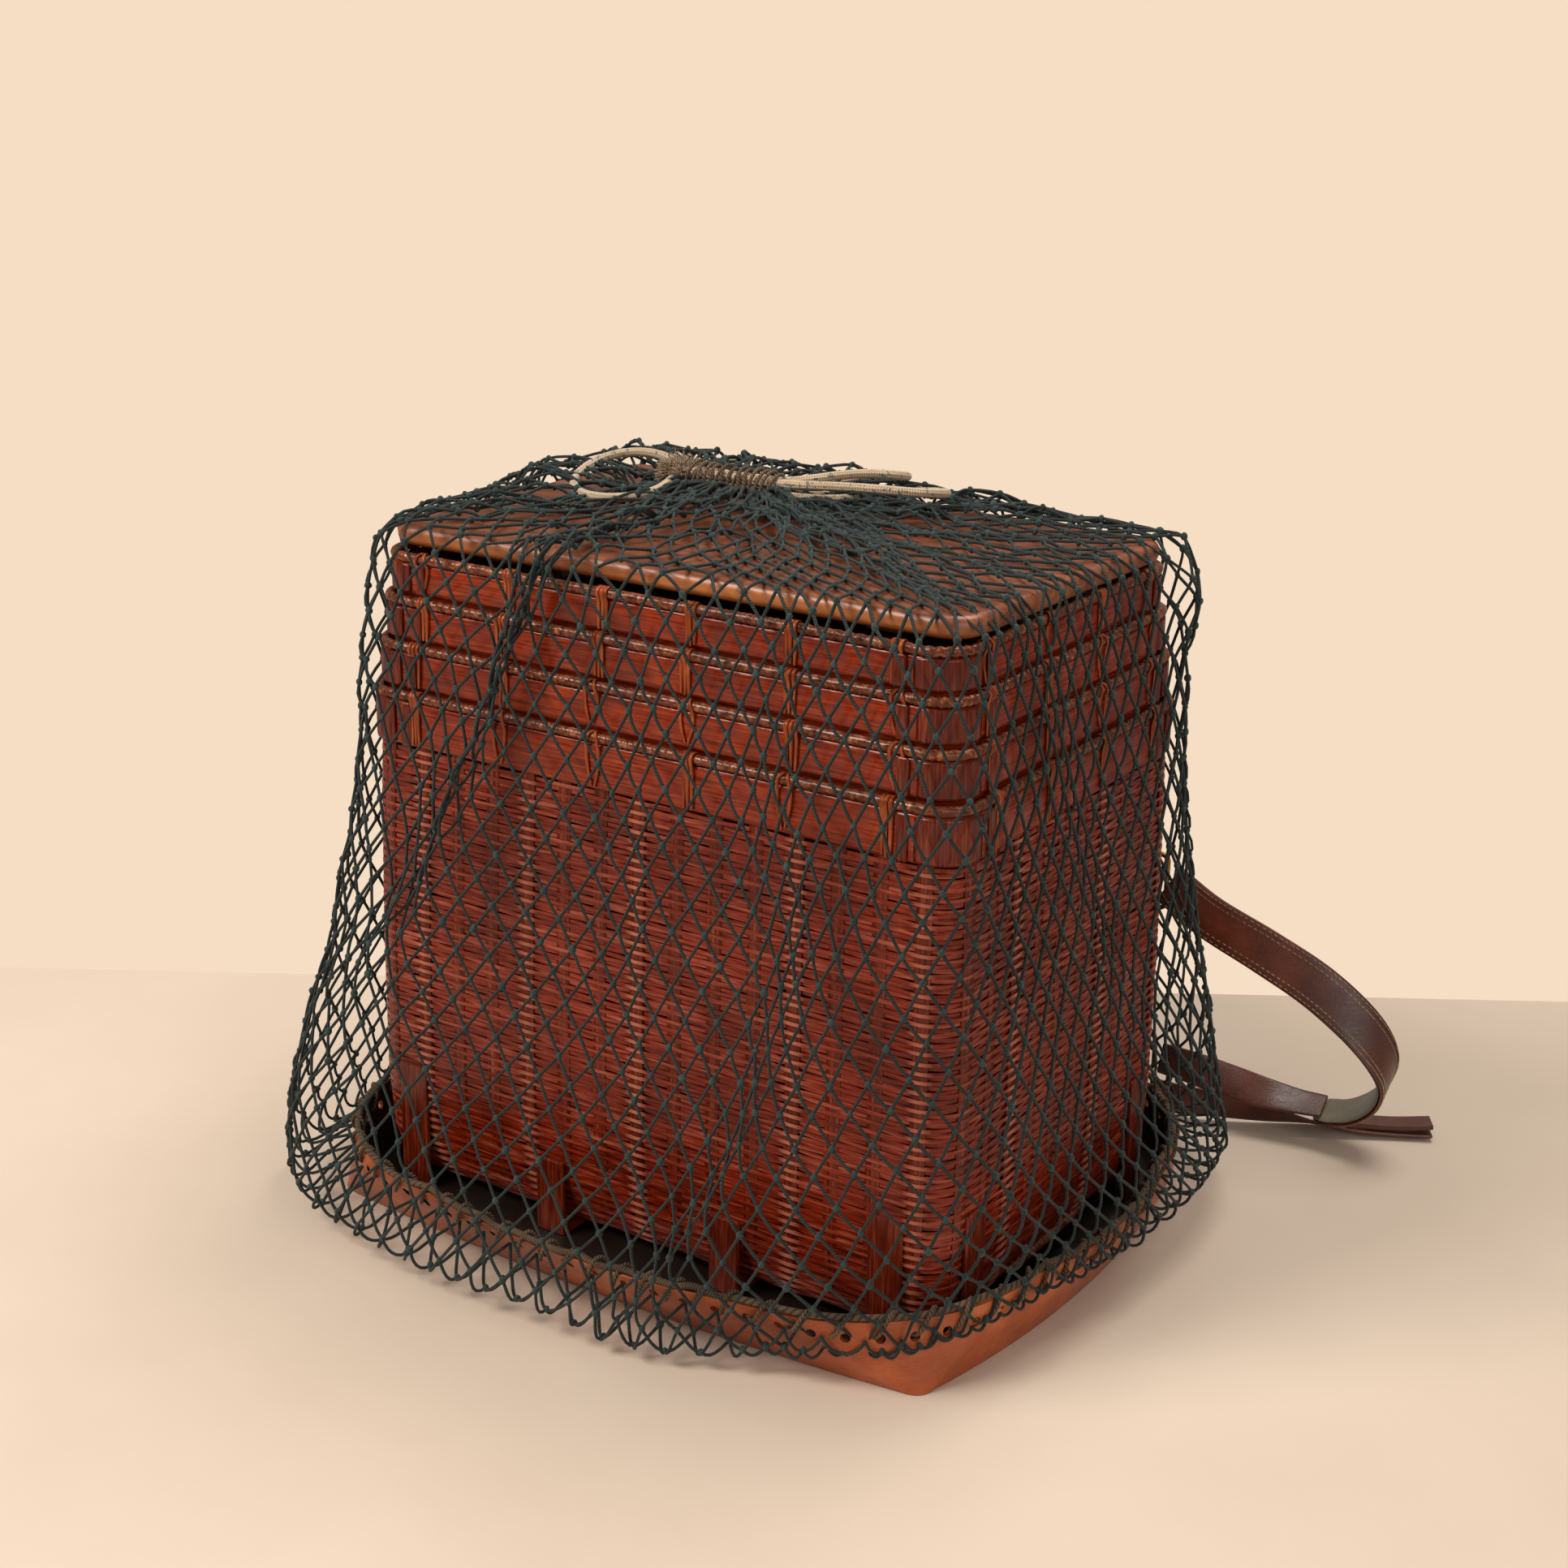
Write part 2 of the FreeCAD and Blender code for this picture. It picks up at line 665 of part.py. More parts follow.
def tube_along(places, radius):
    """A tube on straight runs joined by tangent arcs; returns it with its smallest arc and length."""
    edges = []
    least = None
    here = places[0]
    length = 0.0
    for before, corner, after in zip(places, places[1:], places[2:]):
        run_in = corner - before
        run_out = after - corner
        turn = run_in.getAngle(run_out)
        cut = bend_share * min(run_in.Length, run_out.Length)
        arc_radius = cut / math.tan(turn * half)
        least = arc_radius if least is None else min(least, arc_radius)
        start = corner - FreeCAD.Vector(run_in).normalize() * cut
        end = corner + FreeCAD.Vector(run_out).normalize() * cut
        toward = ((start + end) * half - corner).normalize()
        inner = corner + toward * (arc_radius / math.cos(turn * half) - arc_radius)
        edges.append(Part.LineSegment(here, start).toShape())
        edges.append(Part.Arc(start, inner, end).toShape())
        length += (start - here).Length + arc_radius * turn
        here = end
    edges.append(Part.LineSegment(here, places[-1]).toShape())
    length += (places[-1] - here).Length
    circle = Part.Wire([Part.makeCircle(radius, places[0], places[1] - places[0])])
    tube = Part.Wire(edges).makePipeShell([circle], True, False)
    return tube, least, length


def make_drawstring():
    axis_z = mouth_axis_z()
    knot_x = mouth_x - mouth_length * half - knot_length * half - net_fit
    knot = Part.makeSphere(knot_diameter * half)
    matrix = FreeCAD.Matrix()
    matrix.scale(knot_length / knot_diameter, 1, 1)
    knot = knot.transformGeometry(matrix)
    knot.translate(point(knot_x, mouth_y, axis_z))
    save("drawstring_knot", knot)
    # Each route starts and ends inside the knot.
    routes = {
        "drawstring_loop": [(-93, 45, 386.3), (-103, 52, 388.6), (-116.5, 56, 390.4), (-130, 53, 390.6),
                            (-139, 42, 389), (-141, 27, 386.3), (-139, 11.5, 383), (-131, -3, 380.6),
                            (-118, -13.5, 379), (-103, -16.5, 378.8), (-90.5, -8, 379),
                            (-85.5, 6, 379.8), (-86.5, 22, 381.3), (-90.5, 36, 383.8)],
        "drawstring_near_bight": [(-86, 38.35, 386.85), (-68, 38.2, 387.15), (-46, 38.1, 387.15),
                                  (-25, 38.6, 387.2), (-7, 40.5, 388.2), (11, 44, 389.2),
                                  (28, 49, 389.4), (44, 56, 388.6), (54, 68, 387), (55, 82, 384.8),
                                  (46, 94, 382.4), (31, 98, 380.4), (17, 91, 379), (9, 78.5, 378.6),
                                  (5, 65, 378.8), (-0.5, 52, 379.6), (-9.5, 41, 380.8),
                                  (-25, 38.4, 381.5), (-46, 38.4, 381.65), (-66, 38.3, 381.75),
                                  (-86, 38.45, 381.85)],
        "drawstring_far_bight": [(-86, 43.65, 386.85), (-68, 43.8, 387.15), (-46, 43.8, 387.2),
                                 (-25, 43.9, 387.3), (-11, 50, 389.4), (0, 61, 391.4), (10, 73, 391.8),
                                 (21, 86, 390), (20, 101, 386.8), (9.5, 112, 384), (-5.5, 113, 382),
                                 (-17.5, 104.5, 380.6), (-21, 91, 379.6), (-14.5, 79, 379.2),
                                 (-7, 66.5, 379.2), (-9.2, 53, 380.1), (-19.4, 44.1, 381.2),
                                 (-36, 43.8, 381.6), (-53, 43.8, 381.65), (-70, 43.7, 381.75),
                                 (-86, 43.55, 381.85)],
    }
    for node, places in routes.items():
        tube, least, length = tube_along([point(*place) for place in places], cord_radius)
        print(node, "least bend radius", round(least, 1), "length", round(length, 1),
              "volume share", round(tube.Volume / (math.pi * cord_radius ** 2 * length), 4))
        save(node, tube)


# Stay, rings and straps

def ring_solid(height, bar_length):
    """A flat rectangular ring of wire whose near bar stands on the hinge line."""
    low = height - bar_length * half
    high = height + bar_length * half
    turn = ring_corner
    s = turn * (1 - math.sqrt(half))
    x0 = ring_x
    x1 = ring_x + ring_reach
    path = [Part.LineSegment(point(x0, ring_y, low + turn), point(x0, ring_y, high - turn)),
            Part.Arc(point(x0, ring_y, high - turn), point(x0 + s, ring_y, high - s),
                     point(x0 + turn, ring_y, high)),
            Part.LineSegment(point(x0 + turn, ring_y, high), point(x1 - turn, ring_y, high)),
            Part.Arc(point(x1 - turn, ring_y, high), point(x1 - s, ring_y, high - s),
                     point(x1, ring_y, high - turn)),
            Part.LineSegment(point(x1, ring_y, high - turn), point(x1, ring_y, low + turn)),
            Part.Arc(point(x1, ring_y, low + turn), point(x1 - s, ring_y, low + s),
                     point(x1 - turn, ring_y, low)),
            Part.LineSegment(point(x1 - turn, ring_y, low), point(x0 + turn, ring_y, low)),
            Part.Arc(point(x0 + turn, ring_y, low), point(x0 + s, ring_y, low + s),
                     point(x0, ring_y, low + turn))]
    spine = Part.Wire([edge.toShape() for edge in path])
    circle = Part.Wire([Part.makeCircle(ring_wire_radius, point(x0, ring_y, low + turn), up)])
    return spine.makePipeShell([circle], True, True)


def make_stay():
    x0 = stay_x - stay_width * half
    x1 = stay_x + stay_width * half
    strip = box(x0, x1, stay_inner_y, stay_outer_y, leather_thickness, stay_height)
    ends = [e for e in strip.Edges
            if e.BoundBox.YMax - e.BoundBox.YMin > stay_thickness * half
            and e.BoundBox.ZMin > stay_height * half]
    save("back_stay", drill(strip.makeFillet(stay_width * half - overrun, ends)))
    rivets = []
    for x in rivet_places():
        wall_share = rivet_height / base_rise
        wall_y = (base_width + (rim_width - base_width) * wall_share) * half - leather_thickness
        start_y = wall_y - rivet_head_height
        shank = Part.makeCylinder(rivet_diameter * half, stay_outer_y + rivet_head_height - start_y,
                                  point(x, start_y, rivet_height), along_y)
        head = Part.makeCylinder(rivet_head_diameter * half, rivet_head_height,
                                 point(x, stay_outer_y + hoop_fit, rivet_height), along_y)
        rivets.append(shank.fuse(head))
    save("stay_rivets", group(rivets))
    tabs = []
    tab_rivets = []
    for height, width in ((upper_ring_height, tab_width), (lower_ring_height, tab_width * half),
                          (billet_ring_height, tab_width * half)):
        low = height - width * half
        sleeve = Part.makeCylinder(tab_radius, width, point(ring_x, ring_y, low), up)
        bore = Part.makeCylinder(ring_wire_radius + tab_fit, width + 2 * overrun,
                                 point(ring_x, ring_y, low - overrun), up)
        plate = box(ring_x - tab_length, ring_x, ring_y - tab_radius,
                    ring_y - tab_radius + tab_thickness, low, low + width)
        tabs.append(sleeve.fuse(plate).cut(bore).removeSplitter())
        rivet_x = ring_x - tab_length + rivet_diameter
        head = Part.makeCylinder(rivet_diameter * half, rivet_head_height,
                                 point(rivet_x, ring_y - tab_radius + tab_thickness + hoop_fit, height),
                                 along_y)
        tab_rivets.append(head)
    save("strap_tabs", group(tabs))
    save("tab_rivets", group(tab_rivets))


def ribbon(places, widths, width, low, high, starting=None, ending=None):
    """A strap lofted through rectangles; low and high are its faces' distances from the middle line."""
    starting = starting or (places[1] - places[0]).normalize()
    ending = ending or (places[-1] - places[-2]).normalize()
    curve = Part.BSplineCurve()
    curve.interpolate(Points=places, InitialTangent=starting, FinalTangent=ending)
    marks = [curve.parameter(place) for place in places]
    sections = []
    first = curve.FirstParameter
    last = curve.LastParameter
    for k in range(ribbon_steps + 1):
        t = first + (last - first) * k / ribbon_steps
        middle = curve.value(t)
        forward = FreeCAD.Vector(*curve.tangent(t)[0])
        span = min(sum(1 for mark in marks[1:-1] if mark <= t), len(marks) - 2)
        share = (t - marks[span]) / (marks[span + 1] - marks[span])
        across = widths[span] * (1 - share) + widths[span + 1] * share
        across = across - forward * across.dot(forward)
        across.normalize()
        normal = forward.cross(across)
        corners = [middle + across * (width * half) + normal * low,
                   middle - across * (width * half) + normal * low,
                   middle - across * (width * half) + normal * high,
                   middle + across * (width * half) + normal * high]
        sections.append(Part.makePolygon(corners + corners[:1]))
    return Part.makeLoft(sections, True, True)


# Strap route: shares of its reach, its depth and its drop, then the direction of its width
strap_route_shares = (
    ((0.00, 0.00, 0.00), (0.00, 0.00, 1.00)),
    ((0.19, 0.04, 0.12), (0.10, 0.12, 0.98)),
    ((0.45, 0.10, 0.23), (0.22, 0.28, 0.93)),
    ((0.69, 0.20, 0.35), (0.24, 0.44, 0.86)),
    ((0.88, 0.34, 0.50), (0.20, 0.62, 0.75)),
    ((0.98, 0.50, 0.64), (0.10, 0.80, 0.58)),
    ((1.00, 0.64, 0.76), (-0.02, 0.92, 0.38)),
    ((0.95, 0.74, 0.88), (-0.18, 0.96, 0.18)),
    ((0.84, 0.76, 0.97), (-0.34, 0.93, 0.08)),
    ((0.69, 0.68, 1.00), (-0.38, 0.90, 0.16)),
)
lower_route_shares = (
    ((0.74, 0.68, 0.985), (-0.36, 0.90, 0.24)),
    ((0.62, 0.60, 0.985), (-0.34, 0.86, 0.36)),
    ((0.48, 0.46, 0.965), (-0.22, 0.74, 0.62)),
    ((0.32, 0.28, 0.925), (-0.10, 0.46, 0.88)),
    ((0.16, 0.10, 0.88), (0.00, 0.16, 0.98)),
    ((0.02, 0.01, 0.859), (0.00, 0.00, 1.00)),
)
# Billet route: shares of its reach, its spread and its width (heights), then its width's direction
billet_route_shares = (
    ((0.00, 0.00, 0.00), (0.00, 0.00, 1.00)),
    ((0.12, 0.02, -0.02), (0.00, 0.05, 1.00)),
    ((0.26, 0.12, -0.06), (0.05, -0.12, 0.98)),
    ((0.42, 0.28, -0.20), (0.20, -0.45, 0.86)),
    ((0.58, 0.46, -0.40), (0.38, -0.80, 0.46)),
    ((0.74, 0.65, -0.50), (0.48, -0.87, 0.12)),
    ((0.88, 0.84, -0.54), (0.52, -0.86, 0.02)),
    ((1.00, 1.00, -0.53), (0.52, -0.86, 0.00)),
)


def strap_points(rows):
    start = point(ring_x + ring_reach + ring_wire_radius + strap_fit, ring_y, upper_ring_height)
    places = [start + point(a * strap_reach, b * strap_depth, -c * strap_drop) for (a, b, c), w in rows]
    return places, [point(*w) for s, w in rows]


def billet_points():
    start = point(ring_x + ring_reach + ring_wire_radius + strap_fit, ring_y, billet_ring_height)
    places = [start + point(a * billet_reach, b * billet_spread, c * billet_width)
              for (a, b, c), w in billet_route_shares]
    return places, [point(*w) for s, w in billet_route_shares]


def make_straps():
    save("strap_rings", group([ring_solid(upper_ring_height, strap_width + 2 * ring_wire),
                               ring_solid(lower_ring_height, lower_strap_width + ring_wire)]))
    places, widths = strap_points(strap_route_shares)
    save("shoulder_strap", ribbon(places, widths, strap_width, 0.0, strap_thickness, along_x))
    save("strap_lining", ribbon(places, widths, strap_width, -lining_thickness, -strap_fit * half,
                                along_x))
    places, widths = strap_points(lower_route_shares)
    step = lining_thickness + strap_fit
    save("lower_strap", ribbon(places, widths, lower_strap_width, -step - lower_strap_thickness, -step,
                               ending=along_x * -1))
    save("billet_ring", ring_solid(billet_ring_height, billet_width + ring_wire))
    places, widths = billet_points()
    save("billet_strap", ribbon(places, widths, billet_width, -billet_thickness * half,
                                billet_thickness * half, along_x))
    tip = places[-1]
    back = places[-3] - tip
    back.z = 0
    back.normalize()
    lift = point(0, 0, billet_thickness * half + 2 * strap_fit)
    rise = point(0, 0, billet_tab_lift)
    rows = [tip + back * (billet_tab_length * along) + lift + rise * raised
            for along, raised in zip(billet_tab_shares, billet_tab_rise_shares)]
    save("billet_tab", ribbon(rows, [widths[-1]] * len(rows), billet_tab_width, 0.0, billet_thickness))


make_base()
make_hem()
make_skirt()
make_crown()
make_basket()
make_foot()
make_tray("lower_tray", 1, lower_bead_z, basket_bead_z)
make_tray("middle_tray", 2, middle_bead_z, lower_bead_z)
make_tray("upper_tray", 3, upper_bead_z, middle_bead_z)
make_lid()
make_drawstring()
make_stay()
make_straps()
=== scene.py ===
import json
import math
import random
from contextlib import contextmanager

import bmesh
import bpy
import numpy as np
from mathutils import Matrix, Vector


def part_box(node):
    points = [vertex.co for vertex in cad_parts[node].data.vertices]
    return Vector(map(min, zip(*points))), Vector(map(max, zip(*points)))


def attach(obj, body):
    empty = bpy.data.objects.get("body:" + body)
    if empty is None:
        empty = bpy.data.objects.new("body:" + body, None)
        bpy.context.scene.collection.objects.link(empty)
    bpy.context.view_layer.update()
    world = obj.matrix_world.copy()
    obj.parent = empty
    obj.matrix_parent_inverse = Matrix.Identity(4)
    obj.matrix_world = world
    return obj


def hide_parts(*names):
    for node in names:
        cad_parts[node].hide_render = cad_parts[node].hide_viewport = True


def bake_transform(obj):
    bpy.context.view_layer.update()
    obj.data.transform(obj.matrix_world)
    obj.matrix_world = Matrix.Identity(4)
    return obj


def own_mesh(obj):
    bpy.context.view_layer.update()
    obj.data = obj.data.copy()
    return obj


# A bamboo creel in a net sack with a leather base. Metres, +Z up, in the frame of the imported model.

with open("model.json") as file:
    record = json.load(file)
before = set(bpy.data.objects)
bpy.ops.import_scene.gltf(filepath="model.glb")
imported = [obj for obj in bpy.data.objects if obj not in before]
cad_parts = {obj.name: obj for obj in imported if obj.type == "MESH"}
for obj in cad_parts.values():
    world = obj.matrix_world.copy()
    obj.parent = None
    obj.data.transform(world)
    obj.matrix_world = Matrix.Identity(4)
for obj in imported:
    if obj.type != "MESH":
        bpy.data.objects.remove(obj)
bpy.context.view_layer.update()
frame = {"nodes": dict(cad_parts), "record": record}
nodes = frame["nodes"]

mm = 0.001
body_of = {node: body for body, names in frame["record"]["behaviour"]["bodies"].items() for node in names}
slot_of = {part["node"]: part["material_slot"] for part in frame["record"]["subparts"]}
finishes = {}


# Camera, light and floor

photo_side = 1932.0
focal_pixels = 2947.0
sensor_width = 36.0
camera_place = Vector((664.8, -1017.6, 636.6)) * mm
camera_right = Vector((0.8368, 0.5472, 0.0168))
camera_up = Vector((-0.1855, 0.2546, 0.9491))
camera_forward = Vector((-0.5151, 0.7973, -0.3146))
soft_light = (0.92, 0.82, 0.72, 1)
soft_strength = 0.36
# Name, place, target, size, power and colour
lamps = (("key", (-0.9, -1.3, 1.7), (0, 0, 0.2), 1.0, 40.0, (1.0, 0.95, 0.88)),
         ("fill", (1.6, -0.9, 1.0), (0, 0, 0.2), 1.2, 9.0, (1.0, 0.97, 0.94)),
         ("top", (0.2, 0.7, 1.9), (0, 0, 0.3), 1.1, 20.0, (1.0, 0.95, 0.88)))


def place_camera():
    data = bpy.data.cameras.new("camera")
    data.sensor_width = sensor_width
    data.lens = focal_pixels / photo_side * sensor_width
    data.clip_start = 0.01
    camera = bpy.data.objects.new("camera", data)
    bpy.context.scene.collection.objects.link(camera)
    turn = Matrix((camera_right, camera_up, -camera_forward)).transposed().to_4x4()
    camera.matrix_world = Matrix.Translation(camera_place) @ turn
    bpy.context.scene.camera = camera


def place_lamp(name, place, target, size, power, colour):
    data = bpy.data.lights.new(name, "AREA")
    data.shape = "DISK"
    data.size = size
    data.energy = power
    data.color = colour
    lamp = bpy.data.objects.new(name, data)
    lamp.location = place
    lamp.rotation_euler = (Vector(target) - Vector(place)).to_track_quat("-Z", "Y").to_euler()
    bpy.context.scene.collection.objects.link(lamp)


def light_scene():
    scene = bpy.context.scene
    scene.view_settings.view_transform = "Standard"
    world = bpy.data.worlds.new("studio")
    scene.world = world
    world.use_nodes = True
    tree = world.node_tree
    soft = tree.nodes["Background"]
    soft.inputs["Color"].default_value = soft_light
    soft.inputs["Strength"].default_value = soft_strength
    pale = tree.nodes.new("ShaderNodeBackground")
    pale.inputs["Color"].default_value = linear(246, 222, 196)
    pale.inputs["Strength"].default_value = 1.0
    seen = tree.nodes.new("ShaderNodeLightPath")
    mix = tree.nodes.new("ShaderNodeMixShader")
    tree.links.new(seen.outputs["Is Camera Ray"], mix.inputs[0])
    tree.links.new(soft.outputs[0], mix.inputs[1])
    tree.links.new(pale.outputs[0], mix.inputs[2])
    tree.links.new(mix.outputs[0], tree.nodes["World Output"].inputs["Surface"])
    for lamp in lamps:
        place_lamp(*lamp)


# Nodes of a finish

def add(tree, kind, settings=None, values=None, **sockets):
    """Adds one node; a socket's value is a number, a colour or another node's output."""
    node = tree.nodes.new("ShaderNode" + kind)
    for key, value in (settings or {}).items():
        setattr(node, key, value)
    named = {key.replace("_", " "): value for key, value in sockets.items()}
    numbered = dict(enumerate(values or []))
    for key, value in {**named, **numbered}.items():
        if isinstance(value, bpy.types.NodeSocket):
            tree.links.new(value, node.inputs[key])
        elif value is not None:
            node.inputs[key].default_value = value
    return node


def linear(red, green, blue):
    """A colour written as the 0 to 255 values that the eye reads."""
    def one(value):
        share = value / 255.0
        return share / 12.92 if share <= 0.04045 else ((share + 0.055) / 1.055) ** 2.4
    return one(red), one(green), one(blue), 1.0


def start_finish(name, roughness, coat=0.0, coat_roughness=0.2, metallic=0.0, sheen=0.0):
    material = bpy.data.materials.new(name)
    material.use_nodes = True
    tree = material.node_tree
    surface = tree.nodes["Principled BSDF"]
    surface.inputs["Roughness"].default_value = roughness
    surface.inputs["Coat Weight"].default_value = coat
    surface.inputs["Coat Roughness"].default_value = coat_roughness
    surface.inputs["Metallic"].default_value = metallic
    surface.inputs["Sheen Weight"].default_value = sheen
    finishes[name] = material
    return tree, surface


def object_space(tree, scale=(1, 1, 1)):
    place = add(tree, "TexCoord").outputs["Object"]
    return add(tree, "Mapping", Vector=place, Scale=scale).outputs[0]


def noise(tree, vector, scale, detail=3.0, roughness=0.55, distortion=0.0):
    return add(tree, "TexNoise", Vector=vector, Scale=scale, Detail=detail, Roughness=roughness,
               Distortion=distortion).outputs["Fac"]


def blend_colours(tree, share, first, second):
    return add(tree, "MixRGB", values=[share, first, second]).outputs[0]


def ramp(tree, share, stops):
    node = add(tree, "ValToRGB", Fac=share)
    elements = node.color_ramp.elements
    while len(elements) < len(stops):
        elements.new(0.5)
    for element, (at, colour) in zip(elements, stops):
        element.position = at
        element.color = colour
    return node.outputs["Color"]


def scaled(tree, value, low, high, to_low, to_high):
    return add(tree, "MapRange", {}, [value, low, high, to_low, to_high]).outputs[0]


def tint(tree, colour, by, span, other):
    """Mixes another colour in by a value: the value's two limits, then the share at each."""
    return blend_colours(tree, scaled(tree, by, *span), colour, other)


def maths(tree, operation, first, second=None):
    return add(tree, "Math", {"operation": operation}, [first, second]).outputs[0]


def bump(tree, surface, height, strength, distance):
    node = add(tree, "Bump", Strength=strength, Distance=distance, Height=height)
    tree.links.new(node.outputs[0], surface.inputs["Normal"])


def set_colour(tree, surface, colour):
    tree.links.new(colour, surface.inputs["Base Color"])


def bamboo_finish(name, dark, middle, light, roughness, stretch=(6, 6, 160), pores=0.25, lift=0.0):
    """Lacquered split bamboo: fine fibres along the strip, patches of wear and a clear coat. With lift, the
    raised parts of a strip are lightened: partly wear, partly a painted highlight.
    """
    tree, surface = start_finish(name, roughness, coat=0.18, coat_roughness=0.12)
    surface.inputs["Specular IOR Level"].default_value = 0.28
    fibres = noise(tree, object_space(tree, stretch), 6.0, 6.0, 0.6)
    patches = noise(tree, object_space(tree), 18.0, 3.0)
    colour = ramp(tree, fibres, [(0.3, dark), (0.52, middle), (0.78, light)])
    colour = tint(tree, colour, patches, (0.42, 0.7, 0.0, 0.55), dark)
    # Painted highlight, partly wear: the raised, bulging parts of a strip are lightened towards the light
    # colour.
    if lift:
        raised = add(tree, "Attribute", {"attribute_name": "raised"}).outputs["Fac"]
        worn = scaled(tree, raised, 0.45, 0.95, 0.0, lift)
        colour = blend_colours(tree, worn, colour, light)
    set_colour(tree, surface, colour)
    rough = scaled(tree, patches, 0.3, 0.7, roughness - 0.08, roughness + 0.16)
    tree.links.new(rough, surface.inputs["Roughness"])
    bump(tree, surface, fibres, pores, 0.0006)


def wood_finish():
    """The lid's board: brown oiled grain along X, worn to gold where the nose turns down."""
    tree, surface = start_finish("lid_wood", 0.42, coat=0.25, coat_roughness=0.25)
    place = object_space(tree, (5, 55, 55))
    grain = noise(tree, place, 2.2, 8.0, 0.62, 0.35)
    pores = noise(tree, object_space(tree, (14, 260, 260)), 3.0, 3.0)
    patches = noise(tree, object_space(tree), 9.0, 4.0)
    colour = ramp(tree, grain, [(0.3, linear(74, 30, 10)), (0.5, linear(130, 64, 26)),
                                (0.72, linear(158, 88, 42))])
    colour = tint(tree, colour, patches, (0.45, 0.7, 0.0, 0.5), linear(96, 46, 22))
    colour = tint(tree, colour, pores, (0.56, 0.66, 0.0, 0.55), linear(50, 22, 11))
    facing = add(tree, "SeparateXYZ", Vector=add(tree, "NewGeometry").outputs["Normal"]).outputs["Z"]
    edge = scaled(tree, facing, 0.75, 0.35, 0.0, 1.0)
    worn = maths(tree, "MULTIPLY", edge, scaled(tree, patches, 0.42, 0.6, 0.15, 1.0))
    colour = blend_colours(tree, worn, colour, blend_colours(tree, grain, linear(124, 58, 24),
                                                             linear(206, 126, 62)))
    set_colour(tree, surface, colour)
    bump(tree, surface, maths(tree, "ADD", grain, pores), 0.25, 0.0006)


def leather_finish(name, dark, middle, light, roughness, scratches=0.6, inside=None):
    """Waxed leather: fine grain, darker handled patches, scratches and pale scuffs at the edges. With inside,
    the inner faces and floor of the base are darkened: painted shade, partly dirt.
    """
    tree, surface = start_finish(name, roughness, coat=0.12, coat_roughness=0.35)
    place = object_space(tree)
    patches = noise(tree, place, 11.0, 5.0, 0.6)
    clouds = noise(tree, place, 38.0, 4.0, 0.6)
    pebble = add(tree, "TexVoronoi", Vector=place, Scale=900.0).outputs["Distance"]
    colour = ramp(tree, patches, [(0.32, dark), (0.52, middle), (0.7, light)])
    colour = tint(tree, colour, clouds, (0.5, 0.72, 0.0, 0.5), dark)
    lines = noise(tree, object_space(tree, (1, 1, 9)), 26.0, 9.0, 0.75, 2.2)
    scratch = scaled(tree, maths(tree, "ABSOLUTE", maths(tree, "SUBTRACT", lines, 0.5)), 0.0, 0.012,
                     scratches, 0.0)
    colour = blend_colours(tree, scratch, colour, light)
    # Painted shade, partly dirt: faces turned inwards and the low floor of the base are darkened towards the
    # inside colour.
    if inside:
        normal = add(tree, "NewGeometry").outputs["Normal"]
        facing = add(tree, "VectorMath", {"operation": "DOT_PRODUCT"}, [normal, place]).outputs["Value"]
        low = scaled(tree, add(tree, "SeparateXYZ", Vector=place).outputs["Z"], 0.008, 0.004, 0.0, 1.0)
        up = scaled(tree, add(tree, "SeparateXYZ", Vector=normal).outputs["Z"], 0.4, 0.8, 0.0, 1.0)
        floor = maths(tree, "MULTIPLY", low, up)
        inner = maths(tree, "MAXIMUM", scaled(tree, facing, 0.03, -0.02, 0.0, 1.0), floor)
        colour = blend_colours(tree, inner, colour, inside)
    set_colour(tree, surface, colour)
    tree.links.new(scaled(tree, clouds, 0.3, 0.7, roughness - 0.1, roughness + 0.12),
                   surface.inputs["Roughness"])
    height = maths(tree, "ADD", maths(tree, "MULTIPLY", pebble, 0.5), maths(tree, "MULTIPLY", scratch, -0.8))
    bump(tree, surface, height, 0.25, 0.0006)


def twine_finish(name, dark, light, turns, across=2.0, roughness=0.8):
    """Twisted twine: strands run round it at a slant, read from the tube's own UV map. The crowns of the
    strands carry a painted highlight and the grooves between them painted shade.
    """
    tree, surface = start_finish(name, roughness, sheen=0.06)
    map_place = add(tree, "UVMap").outputs[0]
    parts = add(tree, "SeparateXYZ", Vector=map_place)
    along = maths(tree, "MULTIPLY", parts.outputs["X"], turns)
    round_it = maths(tree, "MULTIPLY", parts.outputs["Y"], across)
    phase = maths(tree, "MULTIPLY", maths(tree, "ADD", along, round_it), math.tau)
    lay = maths(tree, "SINE", phase)
    lay_share = scaled(tree, lay, -1.0, 1.0, 0.0, 1.0)
    mottle = noise(tree, object_space(tree), 60.0, 4.0)
    fuzz = noise(tree, object_space(tree), 1400.0, 2.0)
    colour = blend_colours(tree, scaled(tree, mottle, 0.35, 0.7, 0.0, 1.0), dark, light)
    # Painted highlight on the crowns of the twisted strands, and painted shade darkening the grooves between
    # them.
    colour = blend_colours(tree, maths(tree, "MULTIPLY", lay_share, 0.45), colour, light)
    colour = tint(tree, colour, lay_share, (0.0, 0.3, 0.75, 0.0), (0, 0, 0, 1))
    set_colour(tree, surface, colour)
    bump(tree, surface, maths(tree, "ADD", lay_share, maths(tree, "MULTIPLY", fuzz, 0.4)), 0.8, 0.0005)


